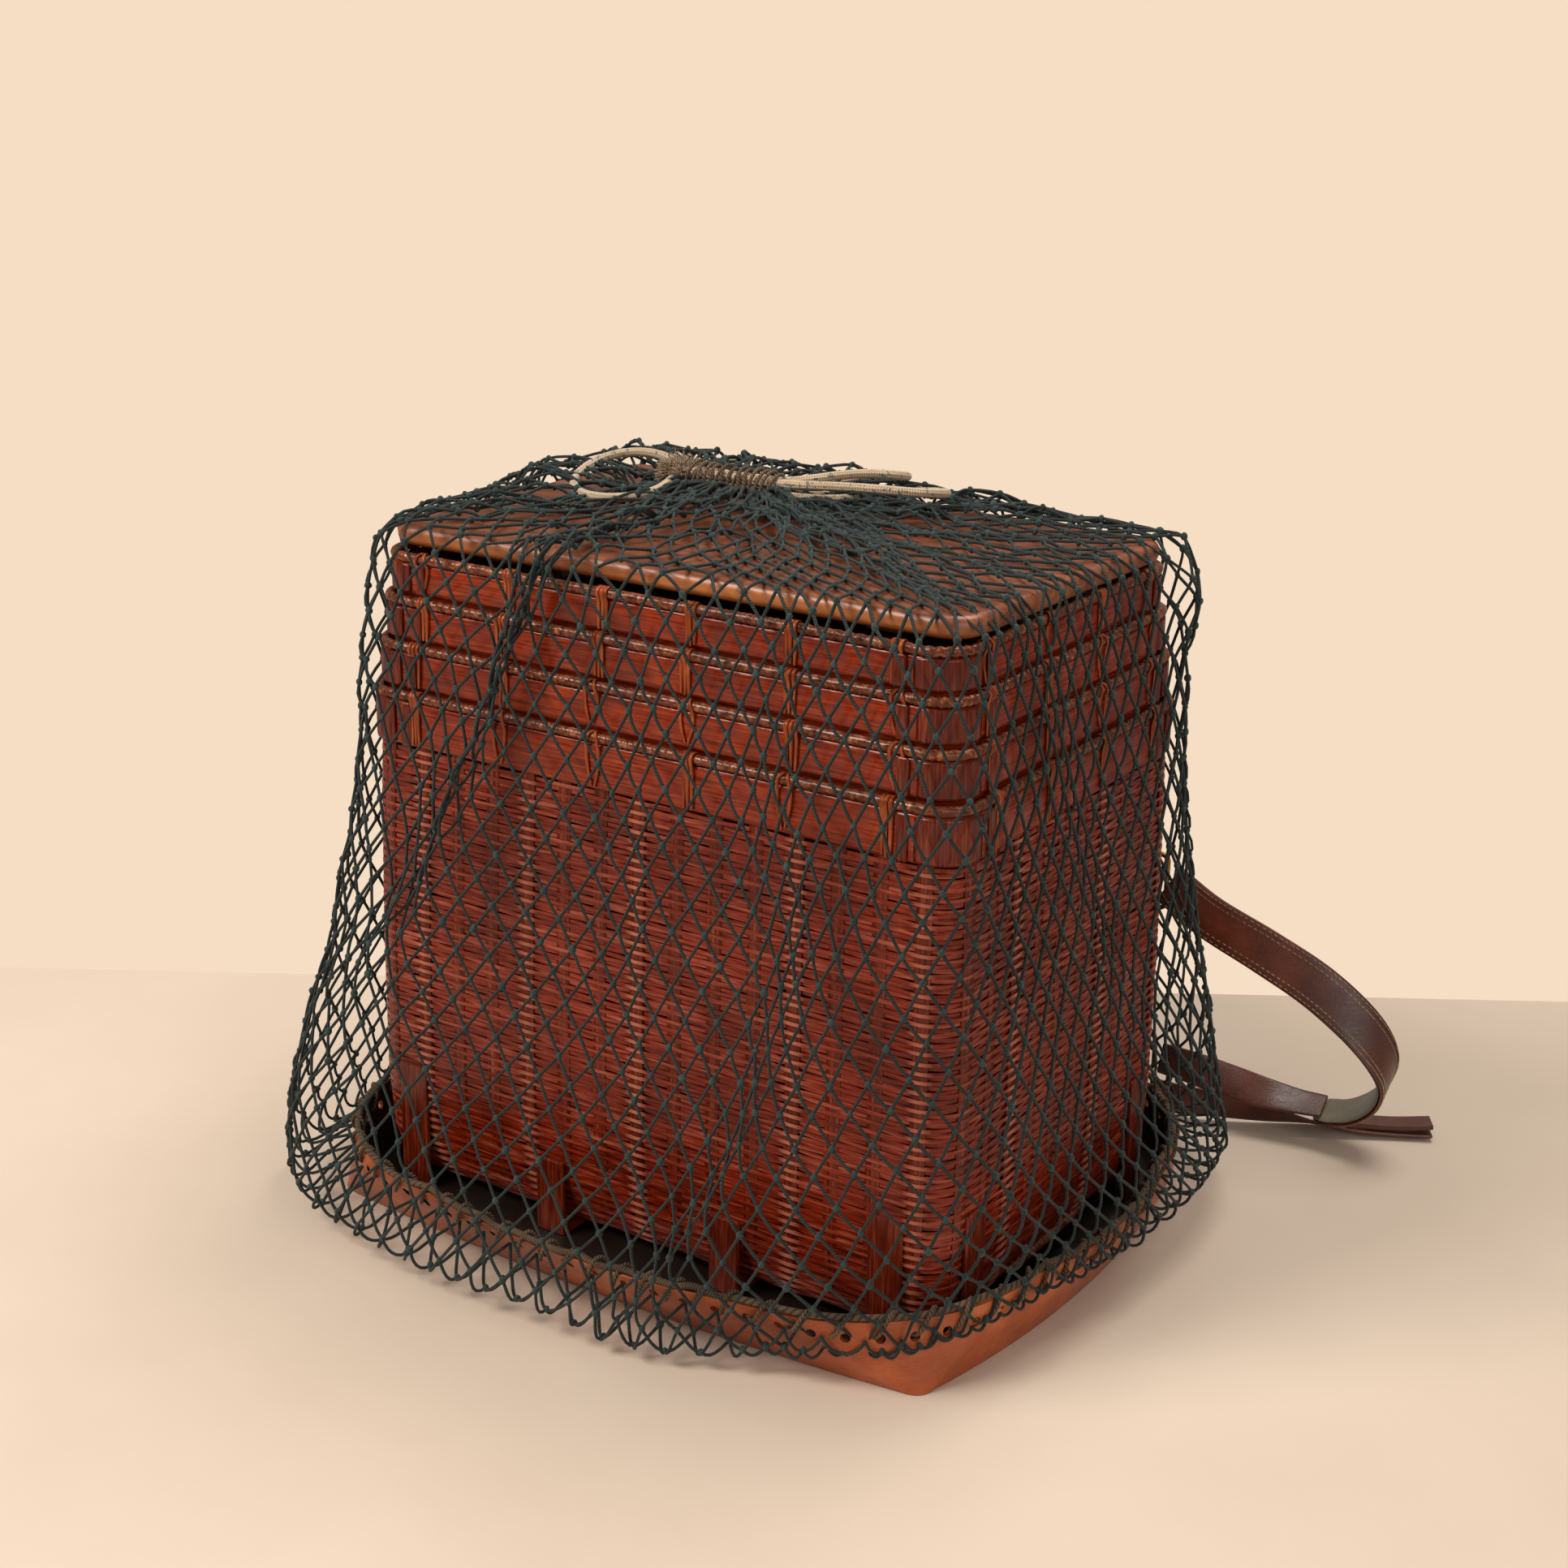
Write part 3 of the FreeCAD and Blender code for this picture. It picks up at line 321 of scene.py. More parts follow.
def knot_finish(name, dark, light, roughness=0.85):
    """Knotted twine: short strands that wrap each knot, with painted shade darkening the hollows between
    them.
    """
    tree, surface = start_finish(name, roughness, sheen=0.1)
    place = object_space(tree, (1, 1, 1.6))
    strands = noise(tree, place, 620.0, 2.0, 0.5, 1.5)
    mottle = noise(tree, object_space(tree), 45.0, 3.0)
    colour = blend_colours(tree, scaled(tree, mottle, 0.3, 0.7, 0.0, 1.0), dark, light)
    # Painted shade: the hollows between the wrapping strands are darkened.
    colour = tint(tree, colour, strands, (0.35, 0.55, 0.7, 0.0), linear(22, 30, 30))
    set_colour(tree, surface, colour)
    bump(tree, surface, strands, 0.9, 0.0008)


def braid_finish():
    """The drawstring's braid: crossing yarns with teal flecks, read from the tube's UV map, with painted
    shade darkening the gaps between the yarns.
    """
    tree, surface = start_finish("drawstring", 0.75, sheen=0.3)
    parts = add(tree, "SeparateXYZ", Vector=add(tree, "UVMap").outputs[0])
    along = maths(tree, "MULTIPLY", parts.outputs["X"], 110.0)
    round_it = maths(tree, "MULTIPLY", parts.outputs["Y"], 4.0)
    left = maths(tree, "SINE", maths(tree, "MULTIPLY", maths(tree, "ADD", along, round_it), math.tau))
    right = maths(tree, "SINE", maths(tree, "MULTIPLY", maths(tree, "SUBTRACT", along, round_it), math.tau))
    yarn = scaled(tree, maths(tree, "MULTIPLY", left, right), -1.0, 1.0, 0.0, 1.0)
    mottle = noise(tree, object_space(tree), 90.0, 3.0)
    flecks = noise(tree, object_space(tree), 420.0, 1.0)
    colour = blend_colours(tree, mottle, linear(170, 142, 112), linear(214, 190, 158))
    colour = tint(tree, colour, flecks, (0.62, 0.66, 0.0, 0.8), linear(52, 96, 98))
    # Painted shade: the gaps between the crossing yarns are darkened.
    colour = tint(tree, colour, yarn, (0.0, 0.35, 0.7, 0.0), linear(84, 62, 44))
    set_colour(tree, surface, colour)
    bump(tree, surface, yarn, 0.8, 0.0006)


def lining_finish():
    """Ridged webbing on the inside of the strap, with painted shade darkening the grooves between its ridges.
    """
    tree, surface = start_finish("strap_lining", 0.8, sheen=0.2)
    parts = add(tree, "SeparateXYZ", Vector=add(tree, "UVMap").outputs[0])
    weave = maths(tree, "SINE", maths(tree, "MULTIPLY", parts.outputs["X"], math.tau * 190.0))
    mottle = noise(tree, object_space(tree), 70.0, 4.0)
    colour = blend_colours(tree, mottle, linear(84, 78, 62), linear(140, 130, 106))
    # Painted shade: the grooves between the ridges are darkened.
    colour = tint(tree, colour, weave, (-1.0, 0.2, 0.5, 0.0), linear(44, 38, 30))
    set_colour(tree, surface, colour)
    bump(tree, surface, weave, 0.5, 0.0004)


def brass_finish():
    tree, surface = start_finish("brass", 0.38, metallic=1.0)
    tarnish = noise(tree, object_space(tree), 120.0, 5.0, 0.65)
    colour = ramp(tree, tarnish, [(0.3, linear(70, 52, 28)), (0.55, linear(150, 118, 62)),
                                  (0.75, linear(190, 158, 96))])
    set_colour(tree, surface, colour)
    tree.links.new(scaled(tree, tarnish, 0.3, 0.7, 0.62, 0.3), surface.inputs["Roughness"])
    bump(tree, surface, tarnish, 0.15, 0.0004)


def floor_finish():
    tree, surface = start_finish("pale_table", 0.7)
    place = object_space(tree)
    clouds = noise(tree, place, 5.0, 4.0)
    colour = blend_colours(tree, clouds, linear(206, 188, 170), linear(222, 205, 188))
    set_colour(tree, surface, colour)


def make_finishes():
    # woven_bamboo: its raised wefts are lightened, partly wear and partly a painted highlight.
    bamboo_finish("woven_bamboo", linear(60, 10, 2), linear(142, 38, 7), linear(192, 110, 86), 0.3,
                  (5, 5, 90), 0.25, 1.0)
    # woven_lining: its very dark colour is painted shade for the inside of the wall, seen through the weave.
    bamboo_finish("woven_lining", linear(24, 7, 4), linear(38, 12, 6), linear(60, 22, 12), 0.6,
                  (5, 5, 220), 0.4)
    bamboo_finish("bamboo_band", linear(70, 13, 2), linear(146, 42, 7), linear(190, 78, 26), 0.22)
    bamboo_finish("upright_bamboo", linear(54, 13, 4), linear(112, 34, 12), linear(170, 84, 54), 0.26,
                  (120, 120, 6))
    bamboo_finish("wound_cane", linear(44, 14, 7), linear(128, 62, 34), linear(204, 142, 104), 0.24,
                  (60, 60, 60), 0.3)
    bamboo_finish("cane_ties", linear(100, 38, 14), linear(166, 74, 30), linear(206, 118, 62), 0.3,
                  (90, 90, 6), 0.3)
    wood_finish()
    # leather: the inside colour is painted shade for the base's inner faces and floor, partly dirt.
    leather_finish("leather", linear(120, 48, 15), linear(170, 78, 30), linear(210, 124, 70), 0.4,
                   inside=linear(30, 18, 13))
    leather_finish("strap_leather", linear(50, 21, 13), linear(94, 42, 26), linear(134, 68, 46), 0.38, 0.35)
    lining_finish()
    twine_finish("lacing", linear(58, 44, 30), linear(112, 88, 60), 520.0)
    twine_finish("net", linear(9, 20, 20), linear(27, 46, 45), 800.0)
    knot_finish("net_knots", linear(20, 38, 38), linear(46, 74, 72))
    knot_finish("frayed_yarn", linear(140, 112, 84), linear(190, 164, 132))
    braid_finish()
    brass_finish()
    floor_finish()


# Pieces

def dress(piece, body, finish, replaced=(), smooth=True):
    """Rides a finished piece on its body and gives it its finish."""
    if piece.name not in bpy.context.scene.collection.objects:
        bpy.context.scene.collection.objects.link(piece)
    piece.data.materials.clear()
    piece.data.materials.append(finishes[finish])
    if smooth:
        for polygon in piece.data.polygons:
            polygon.use_smooth = True
    if body:
        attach(piece, body)
    if replaced:
        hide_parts(*replaced)
    return piece


def piece_from(name, shape):
    """A linked object made from a bmesh, which is freed."""
    mesh = bpy.data.meshes.new(name)
    shape.to_mesh(mesh)
    shape.free()
    piece = bpy.data.objects.new(name, mesh)
    bpy.context.scene.collection.objects.link(piece)
    return piece


@contextmanager
def reshaped(mesh):
    """Lends a mesh as a bmesh and writes it back."""
    shape = bmesh.new()
    shape.from_mesh(mesh)
    yield shape
    shape.to_mesh(mesh)
    shape.free()


def freeze(piece):
    """Applies the piece's modifiers."""
    view = bpy.context.evaluated_depsgraph_get()
    mesh = bpy.data.meshes.new_from_object(piece.evaluated_get(view))
    piece.modifiers.clear()
    piece.data = mesh


array_step = 8.0
weld_distance = 0.01 * mm


def laid_copies(name, unit, count, place, raised=None):
    """Copies of a unit shape, each point moved to place(its place on the unit, copy number k)."""
    piece = piece_from(name, unit)
    row = piece.modifiers.new("row", "ARRAY")
    row.count = count
    row.use_relative_offset = False
    row.use_constant_offset = True
    row.constant_offset_displace = (0, 0, array_step)
    freeze(piece)
    mesh = piece.data
    flat = np.empty(len(mesh.vertices) * 3)
    mesh.vertices.foreach_get("co", flat)
    flat = flat.reshape(-1, 3)
    k = np.rint(flat[:, 2] / array_step).astype(int)
    local = flat - stacked(0.0, 0.0, k * array_step)
    mesh.vertices.foreach_set("co", np.ascontiguousarray(place(local, k)).ravel())
    if raised is not None:
        layer = mesh.attributes.new("raised", "FLOAT", "POINT")
        layer.data.foreach_set("value", raised(local, k).astype(np.float32))
    mesh.update()
    return piece


def laid_grids(name, count, columns, rows, place, raised=None):
    """Grids whose points are moved to place(u, v, k): u and v run 0 to 1 on grid number k."""
    unit = bmesh.new()
    unit.loops.layers.uv.new("UVMap")
    bmesh.ops.create_grid(unit, x_segments=columns, y_segments=rows, size=0.5, calc_uvs=True)

    def on_grid(rule):
        return lambda local, k: rule(local[:, 0] + 0.5, local[:, 1] + 0.5, k)

    piece = laid_copies(name, unit, count, on_grid(place), on_grid(raised) if raised else None)
    with reshaped(piece.data) as shape:
        bmesh.ops.remove_doubles(shape, verts=shape.verts, dist=weld_distance)
        bmesh.ops.recalc_face_normals(shape, faces=shape.faces)
    return piece


def round_outline(share, half_x, half_y, corner):
    """Points and outward directions on a rectangle with round corners; share 0 is its front middle."""
    inner_x = half_x - corner
    inner_y = half_y - corner
    arc = corner * math.pi / 2
    lengths = [inner_x, arc, 2 * inner_y, arc, 2 * inner_x, arc, 2 * inner_y, arc, inner_x]
    total = sum(lengths)
    along = np.mod(share, 1.0) * total
    x, y, nx, ny = (np.zeros(np.broadcast(along, half_x, half_y).shape) for _ in range(4))
    # Each stretch: its corner, and a side's direction or an arc's first heading in degrees
    stretches = (((0, -1), (1, 0)), ((1, -1), -90), ((1, -1), (0, 1)), ((1, 1), 0), ((1, 1), (-1, 0)),
                 ((-1, 1), 90), ((-1, 1), (0, -1)), ((-1, -1), 180), ((-1, -1), (1, 0)))
    before = 0.0
    for length, ((cx, cy), way) in zip(lengths, stretches):
        inside = (along >= before) & (along <= before + length)
        done = along - before
        if isinstance(way, int):
            turn = np.radians(way) + done / corner
            px = cx * inner_x + corner * np.cos(turn)
            py = cy * inner_y + corner * np.sin(turn)
            dx, dy = np.cos(turn), np.sin(turn)
        else:
            tx, ty = way
            px = cx * (inner_x if ty == 0 else half_x) + tx * done
            py = cy * (inner_y if tx == 0 else half_y) + ty * done
            dx, dy = ty + 0.0 * done, -tx + 0.0 * done
        x, y = np.where(inside, px, x), np.where(inside, py, y)
        nx, ny = np.where(inside, dx, nx), np.where(inside, dy, ny)
        before = before + length
    return x, y, nx, ny


def stacked(*parts):
    return np.stack(np.broadcast_arrays(*parts), axis=-1)


# Sizes read from the frame

basket_corner = 20 * mm
wall_low, wall_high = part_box("basket_wall")
rim_low, rim_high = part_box("basket_rim_band")
lid_low, lid_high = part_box("lid_board")
base_low, base_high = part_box("leather_base")
hem_low, hem_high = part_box("net_hem")
crown_low, crown_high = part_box("net_crown")
floor_line = wall_low.z
tiers = ("basket_rim", "lower_tray", "middle_tray", "upper_tray")

wall_height_shares = np.array((0.0, 0.035, 0.09, 0.22, 0.5, 0.8, 0.905, 1.0))
wall_growth_shares = np.array((-2.6, -0.9, 0.2, 0.8, 0.75, 0.3, 0.0, 0.0))
wall_swell = 4 * mm
wall_inset = 2.0 * mm
lining_inset = 4.4 * mm


def wall_growth(z):
    """How far the wall stands outside the basket's nominal outline at a height."""
    share = (z - wall_low.z) / (wall_high.z - wall_low.z)
    return np.interp(share, wall_height_shares, wall_growth_shares) * wall_swell


# The woven wall: wefts that pass over and behind upright warps

weft_pitch = 2.45 * mm
weft_height = 2.3 * mm
weft_thickness = 0.7 * mm
weft_swing = 1.15 * mm
warp_count = 50
warp_width = 8 * mm
warp_thickness = 0.8 * mm


def warp_strength(number):
    """Some warps stand out more than others."""
    pattern = np.array((1.0, 0.3, 0.4, 0.25, 0.95, 0.35, 0.3, 0.85, 0.35, 0.4))
    return pattern[np.mod(number, len(pattern))]


def weft_swing_at(u, k):
    phase = warp_count * u
    wave = np.cos(math.pi * (phase + k))
    strength = warp_strength(np.rint(phase).astype(int) % warp_count)
    near = np.abs(phase - np.rint(phase)) * 2
    return np.sign(wave) * np.abs(wave) ** 0.8 * (strength * (1 - near) + 0.5 * near)


def make_wefts():
    random.seed(3)
    top = rim_low.z - 0.4 * mm
    count = int((top - floor_line - 1.2 * mm) / weft_pitch)
    jitter = np.array([random.uniform(-0.22, 0.22) * mm for _ in range(count)])
    wander = np.array([random.uniform(0, math.tau) for _ in range(count)])

    def places(first):
        def place(u, v, k):
            number = k + first
            swing = weft_swing_at(u, number)
            z = floor_line + 1.5 * mm + weft_pitch * (number + 0.5) + jitter[number]
            z = z + 0.28 * mm * np.sin(math.tau * 5 * u + wander[number])
            corner_x = (v > 0.1) & (v < 0.6)
            upper = (v > 0.35) & (v < 0.9)
            out = np.where(corner_x, 0.5, -0.5) * weft_thickness + swing * weft_swing
            height = np.where(upper, 0.5, -0.5) * weft_height * (1.0 - 0.34 * np.clip(swing, 0, 1))
            grow = wall_growth(z) - wall_inset
            x, y, nx, ny = round_outline(u, wall_half_x + grow, wall_half_y + grow,
                                         basket_corner + np.maximum(grow, -9 * mm))
            return stacked(x + nx * out, y + ny * out, z + height)
        return place

    # How far each weft bulges out. The finish lightens it, partly as wear and partly as a painted highlight.
    def raised(first):
        return lambda u, v, k: np.clip(weft_swing_at(u, k + first), 0, 1)

    wall_half_x = rim_high.x
    wall_half_y = rim_high.y
    bands = 3
    for band in range(bands):
        first = count * band // bands
        last = count * (band + 1) // bands
        piece = laid_grids("wefts_%d" % band, last - first, 350, 4, places(first),
                           raised=raised(first))
        dress(piece, "sack_and_basket", "woven_bamboo", ("basket_wall",), smooth=False)


def make_warps():
    top = rim_low.z + 4 * mm

    def place(u, v, k):
        z = floor_line + 1 * mm + (top - floor_line) * u
        grow = wall_growth(z) - wall_inset
        spot = k / warp_count
        x, y, nx, ny = round_outline(spot, rim_high.x + grow, rim_high.y + grow, basket_corner + grow)
        across = np.where((v > 0.1) & (v < 0.6), 0.5, -0.5) * warp_width
        out = np.where((v > 0.35) & (v < 0.9), 0.5, -0.5) * warp_thickness
        return stacked(x + nx * out - ny * across, y + ny * out + nx * across, z)

    piece = laid_grids("warps", warp_count, 24, 4, place)
    dress(piece, "sack_and_basket", "upright_bamboo")

    # A sheet inside the wall. Its dark finish is painted shade, seen through the gaps of the weave.
    def lining(u, v, k):
        z = floor_line + (wall_high.z - floor_line) * v
        grow = wall_growth(z) - lining_inset
        x, y, nx, ny = round_outline(u, rim_high.x + grow, rim_high.y + grow, basket_corner + grow)
        return stacked(x, y, z)

    inner = laid_grids("wall_lining_painted_shade", 1, 220, 40, lining)
    inner.modifiers.new("thick", "SOLIDIFY").thickness = 0.8 * mm
    dress(inner, "sack_and_basket", "woven_lining")


# Rims: bands, corner covers, wound beads and cane ties

strip_inset = 1.25 * mm


def section(v, thick, tall):
    """A flat strip's rounded section: out and up from its middle, for v from 0 to 1."""
    turn = math.tau * v
    out = np.sign(np.cos(turn)) * np.abs(np.cos(turn)) ** 0.35 * thick / 2
    rise = np.sign(np.sin(turn)) * np.abs(np.sin(turn)) ** 0.35 * tall / 2
    return out, rise


def make_band(tier, seed):
    low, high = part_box(tier + "_band")
    random.seed(seed)
    bumps = [(random.uniform(0, 1), random.uniform(0.004, 0.012), random.uniform(-0.25, 0.3) * mm)
             for _ in range(34)]

    def place(u, v, k):
        out, rise = section(v, 2.3 * mm, high.z - low.z)
        x, y, nx, ny = round_outline(u, high.x - strip_inset, high.y - strip_inset,
                                     basket_corner - strip_inset)
        dent = sum(depth * np.exp(-((np.mod(u - at + 0.5, 1.0) - 0.5) / width) ** 2)
                   for at, width, depth in bumps)
        out = out + dent * (out > 0)
        return stacked(x + nx * out, y + ny * out, (low.z + high.z) / 2 + rise)

    piece = laid_grids(tier + "_strip", 1, 320, 12, place)
    dress(piece, body_of[tier + "_band"], "bamboo_band", (tier + "_band",))


def make_corner_covers(tier, seed):
    """Short curved plates over each corner of a band, with upright edge strips."""
    low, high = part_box(tier + "_band")
    perimeter = 4 * (high.x + high.y) - (8 - math.tau) * basket_corner
    first = (high.x - basket_corner + basket_corner * math.pi / 4) / perimeter
    side = (2 * (high.y - basket_corner) + basket_corner * math.pi / 2) / perimeter
    spots = [first, first + side, 1 - first - side, 1 - first]
    random.seed(seed)
    parts = []
    for spot in spots:
        parts.append((spot, random.uniform(34, 40) * mm / perimeter, 0.55 * mm, 1.0))
        for way in (-1, 1):
            parts.append((spot + way * random.uniform(24, 27) * mm / perimeter,
                          random.uniform(6, 8) * mm / perimeter, 1.1 * mm, 1.05))

    def place(u, v, k):
        spot, width, proud, tall = np.array(parts)[k].T
        out, rise = section(v, 1.0 * mm, (high.z - low.z) * tall * 0.97)
        ends = 1 - np.abs(2 * u - 1) ** 8
        x, y, nx, ny = round_outline(spot + (u - 0.5) * width, high.x, high.y, basket_corner)
        reach = out * ends + proud * (0.55 + 0.45 * ends)
        return stacked(x + nx * reach, y + ny * reach, (low.z + high.z) / 2 + rise * (0.9 + 0.1 * ends))

    piece = laid_grids(tier + "_corner_covers", len(parts), 18, 10, place)
    dress(piece, body_of[tier + "_band"], "upright_bamboo")


def make_bead(tier, turns, seed):
    """A core wound with cane: separate round turns in some stretches, finer winding in others."""
    low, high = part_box(tier + "_bead")
    radius = (high.z - low.z) / 2
    centre_z = (high.z + low.z) / 2
    random.seed(seed)
    waves = [(random.randint(2, 9), random.uniform(0, math.tau)) for _ in range(4)]

    def place(u, v, k):
        drift = sum(np.sin(math.tau * count * u + start) / count for count, start in waves)
        phase = turns * u + 9 * drift + v
        ridge = np.abs(np.sin(math.pi * phase)) ** 0.6
        depth = 0.17 + 0.12 * np.sin(math.tau * 3 * u + seed)
        size = radius * (1 - depth + depth * ridge)
        turn = math.tau * v
        x, y, nx, ny = round_outline(u, high.x - radius, high.y - radius,
                                     basket_corner + (high.x - radius - band_half(tier)))
        out = size * np.cos(turn)
        return stacked(x + nx * out, y + ny * out, centre_z + size * np.sin(turn))

    piece = laid_grids(tier + "_winding", 1, turns * 4, 10, place)
    dress(piece, body_of[tier + "_bead"], "wound_cane", (tier + "_bead",))


def band_half(tier):
    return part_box(tier + "_band")[1].x


def tie_spots(tier):
    """Middles of the ties: position, outward and sideways directions."""
    low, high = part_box(tier + "_band")
    spots = []
    pitch = 57 * mm
    for half_run, half_side, turned in ((high.x, high.y, False), (high.y, high.x, True)):
        run = 2 * (half_run - basket_corner)
        count = int((run - 7 * mm) / pitch) + 1
        for number in range(count):
            at = (number - (count - 1) / 2) * pitch
            for side in (-1, 1):
                if turned:
                    spots.append(((side * half_side, at), (side, 0), (0, 1)))
                else:
                    spots.append(((at, side * half_side), (0, side), (1, 0)))
    return spots


def make_ties(tier, seed):
    """Cane strips over the bead and down the band: flat bundles, and pairs bent like leaves."""
    low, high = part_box(tier + "_band")
    bead_low, bead_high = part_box(tier + "_bead")
    bead_z = (bead_low.z + bead_high.z) / 2
    radius = (bead_high.z - bead_low.z) / 2 + 0.55 * mm
    random.seed(seed)
    strips = []
    for (x, y), outward, sideways in tie_spots(tier):
        shift = random.uniform(-3, 3) * mm
        if random.random() < 0.55:
            for number in range(3):
                strips.append((x, y, outward, sideways, shift + (number - 1) * 2.3 * mm,
                               random.uniform(-0.5, 0.5) * mm, 2.2 * mm, random.uniform(0.0, 0.08)))
        else:
            for way in (-1, 1):
                strips.append((x, y, outward, sideways, shift + way * 0.8 * mm, way * 3.0 * mm, 2.0 * mm,
                               random.uniform(0.0, 0.12)))

    def column(index):
        return np.array([strip[index] for strip in strips])

    def place(u, v, k):
        over = 0.42
        turn = math.pi * (1 - np.clip(u / over, 0, 1))
        fall = np.clip((u - over) / (1 - over), 0, 1)
        shorten = column(7)[k]
        drop = (bead_z - low.z - 0.4 * mm) * (1 - shorten)
        out_path = -1.25 * mm + radius * np.cos(turn)
        out_path = np.where(u > over, np.interp(fall, [0, 0.22, 1], [0, 1, 1]) *
                            (0.7 * mm + 1.25 * mm - radius) + radius - 1.25 * mm, out_path)
        z_path = bead_z + radius * np.sin(turn) - fall * drop
        bow = column(5)[k] * np.sin(math.pi * np.clip((u - 0.2) / 0.8, 0, 1))
        narrow = 0.35 + 0.65 * np.sin(math.pi * np.clip(u * 0.9 + 0.08, 0, 1)) ** 0.5
        strip_out, strip_side = section(v, 0.75 * mm, 1.0)
        side = column(4)[k] + bow + strip_side * column(6)[k] * narrow
        out = out_path + strip_out * np.where(u < over, np.cos(turn), 1.0)
        z = z_path + strip_out * np.where(u < over, np.sin(turn), 0.0)
        outward, sideways = column(2)[k], column(3)[k]
        x = column(0)[k] + outward[:, 0] * out + sideways[:, 0] * side
        y = column(1)[k] + outward[:, 1] * out + sideways[:, 1] * side
        return stacked(x, y, z)

    piece = laid_grids(tier + "_cane_strips", len(strips), 18, 6, place)
    dress(piece, body_of[tier + "_ties"], "cane_ties", (tier + "_ties",))


# The foot: slats and a wound bead along each short side

def make_slats():
    def closed(name, node, finish):
        piece = bpy.data.objects.new(name, nodes[node].data.copy())
        with reshaped(piece.data) as shape:
            bmesh.ops.remove_doubles(shape, verts=shape.verts, dist=weld_distance)
            bmesh.ops.dissolve_limit(shape, angle_limit=0.02, verts=shape.verts, edges=shape.edges)
            bmesh.ops.bevel(shape, geom=shape.edges[:], offset=0.8 * mm, segments=2, affect="EDGES",
                            profile=0.5, material=-1, clamp_overlap=True)
        dress(piece, "sack_and_basket", finish, (node,), smooth=False)

    closed("foot_slat_strips", "foot_slats", "upright_bamboo")
    closed("corner_slat_strips", "corner_slats", "upright_bamboo")
    low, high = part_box("side_foot_beads")
    radius = (high.z - low.z) / 2

    def place(u, v, k):
        side = 2 * k - 1
        ridge = np.abs(np.sin(math.pi * (34 * u + v))) ** 0.6
        size = radius * (0.84 + 0.16 * ridge) * np.minimum(1, 14 * np.minimum(u, 1 - u) + 0.05)
        x = side * (high.x - radius) + size * np.cos(math.tau * v)
        return stacked(x, low.y + (high.y - low.y) * u, (low.z + high.z) / 2 + size * np.sin(math.tau * v))

    piece = laid_grids("foot_winding", 2, 136, 10, place)
    dress(piece, "sack_and_basket", "wound_cane", ("side_foot_beads",))


# Leather base with its eyelets and lacing

base_tip = 9 * mm
base_bulges = (10 * mm, 17 * mm)
rim_bulge = 12 * mm
rim_corner = 110 * mm
leather_thickness = 3.2 * mm
rim_half = (207 * mm, 178 * mm)
base_half = (187 * mm, 147 * mm)
eyelet_count = 80
eyelet_drop = 8.5 * mm
eyelet_radius = 2.6 * mm
punch_depth = 12 * mm
side_share = 0.19


def arc_through(start, middle, end, share):
    """Points on the arc through three points, for shares of it from 0 to 1."""
    a, b, c = (np.array(p) for p in (start, middle, end))
    ab, ac = b - a, c - a
    double = 2 * (ab[0] * ac[1] - ab[1] * ac[0])
    square_b, square_c = ab @ ab, ac @ ac
    centre = a + np.array((ac[1] * square_b - ab[1] * square_c, ab[0] * square_c - ac[0] * square_b)) / double
    radius = np.hypot(*(a - centre))
    first = math.atan2(*(a - centre)[::-1])
    sweep = math.atan2(*(c - centre)[::-1]) - first
    turn_b = math.atan2(*(b - centre)[::-1]) - first
    if double > 0:
        sweep = sweep % math.tau
    else:
        sweep = sweep % math.tau - math.tau
    turn = first + sweep * share
    return centre[0] + radius * np.cos(turn), centre[1] + radius * np.sin(turn)


def bulged_outline(share, half_x, half_y, corner, long_bulge, short_bulge):
    """The base's outline: four bulging sides and four round tips; share 0 is the front left tip's end."""
    inner_x, inner_y = half_x - corner, half_y - corner
    reach = corner * math.sqrt(0.5)
    starts = ((-inner_x, -half_y), (half_x, -inner_y), (inner_x, half_y), (-half_x, inner_y))
    middles = ((0, -half_y - long_bulge), (half_x + short_bulge, 0), (0, half_y + long_bulge),
               (-half_x - short_bulge, 0))
    ends = ((inner_x, -half_y), (half_x, inner_y), (-inner_x, half_y), (-half_x, -inner_y))
    signs = ((1, -1), (1, 1), (-1, 1), (-1, -1))
    x, y = np.zeros_like(share), np.zeros_like(share)
    quarter = np.mod(share, 1.0) * 4
    for number in range(4):
        inside = (quarter >= number) & (quarter < number + 1)
        local = quarter - number
        along_side = np.clip(local / (4 * side_share), 0, 1)
        along_tip = np.clip((local - 4 * side_share) / (1 - 4 * side_share), 0, 1)
        turn = (signs[number][0] * (inner_x + reach), signs[number][1] * (inner_y + reach))
        sx, sy = arc_through(starts[number], middles[number], ends[number], along_side)
        tx, ty = arc_through(ends[number], turn, starts[(number + 1) % 4], along_tip)
        on_side = local <= 4 * side_share
        x = np.where(inside, np.where(on_side, sx, tx), x)
        y = np.where(inside, np.where(on_side, sy, ty), y)
    return x, y


def base_wall(share, z, inset=0.0):
    """A point of the base's outer face at a height, drawn in by inset."""
    rise = np.clip(z / base_high.z, 0, 1)
    tip = max(base_tip - inset, base_tip / 2)
    x0, y0 = bulged_outline(share, base_half[0] - inset, base_half[1] - inset, tip, *base_bulges)
    x1, y1 = bulged_outline(share, rim_half[0] - inset, rim_half[1] - inset, rim_corner - inset, rim_bulge,
                            rim_bulge)
    return x0 + (x1 - x0) * rise, y0 + (y1 - y0) * rise


def even_shares(count):
    """Shares of the rim's outline that stand an even distance apart."""
    dense = np.linspace(0, 1, 2001)
    x, y = base_wall(dense, np.full_like(dense, base_high.z - eyelet_drop))
    run = np.concatenate(([0.0], np.cumsum(np.hypot(np.diff(x), np.diff(y)))))
    return np.interp(np.arange(count) / count * run[-1], run, dense)


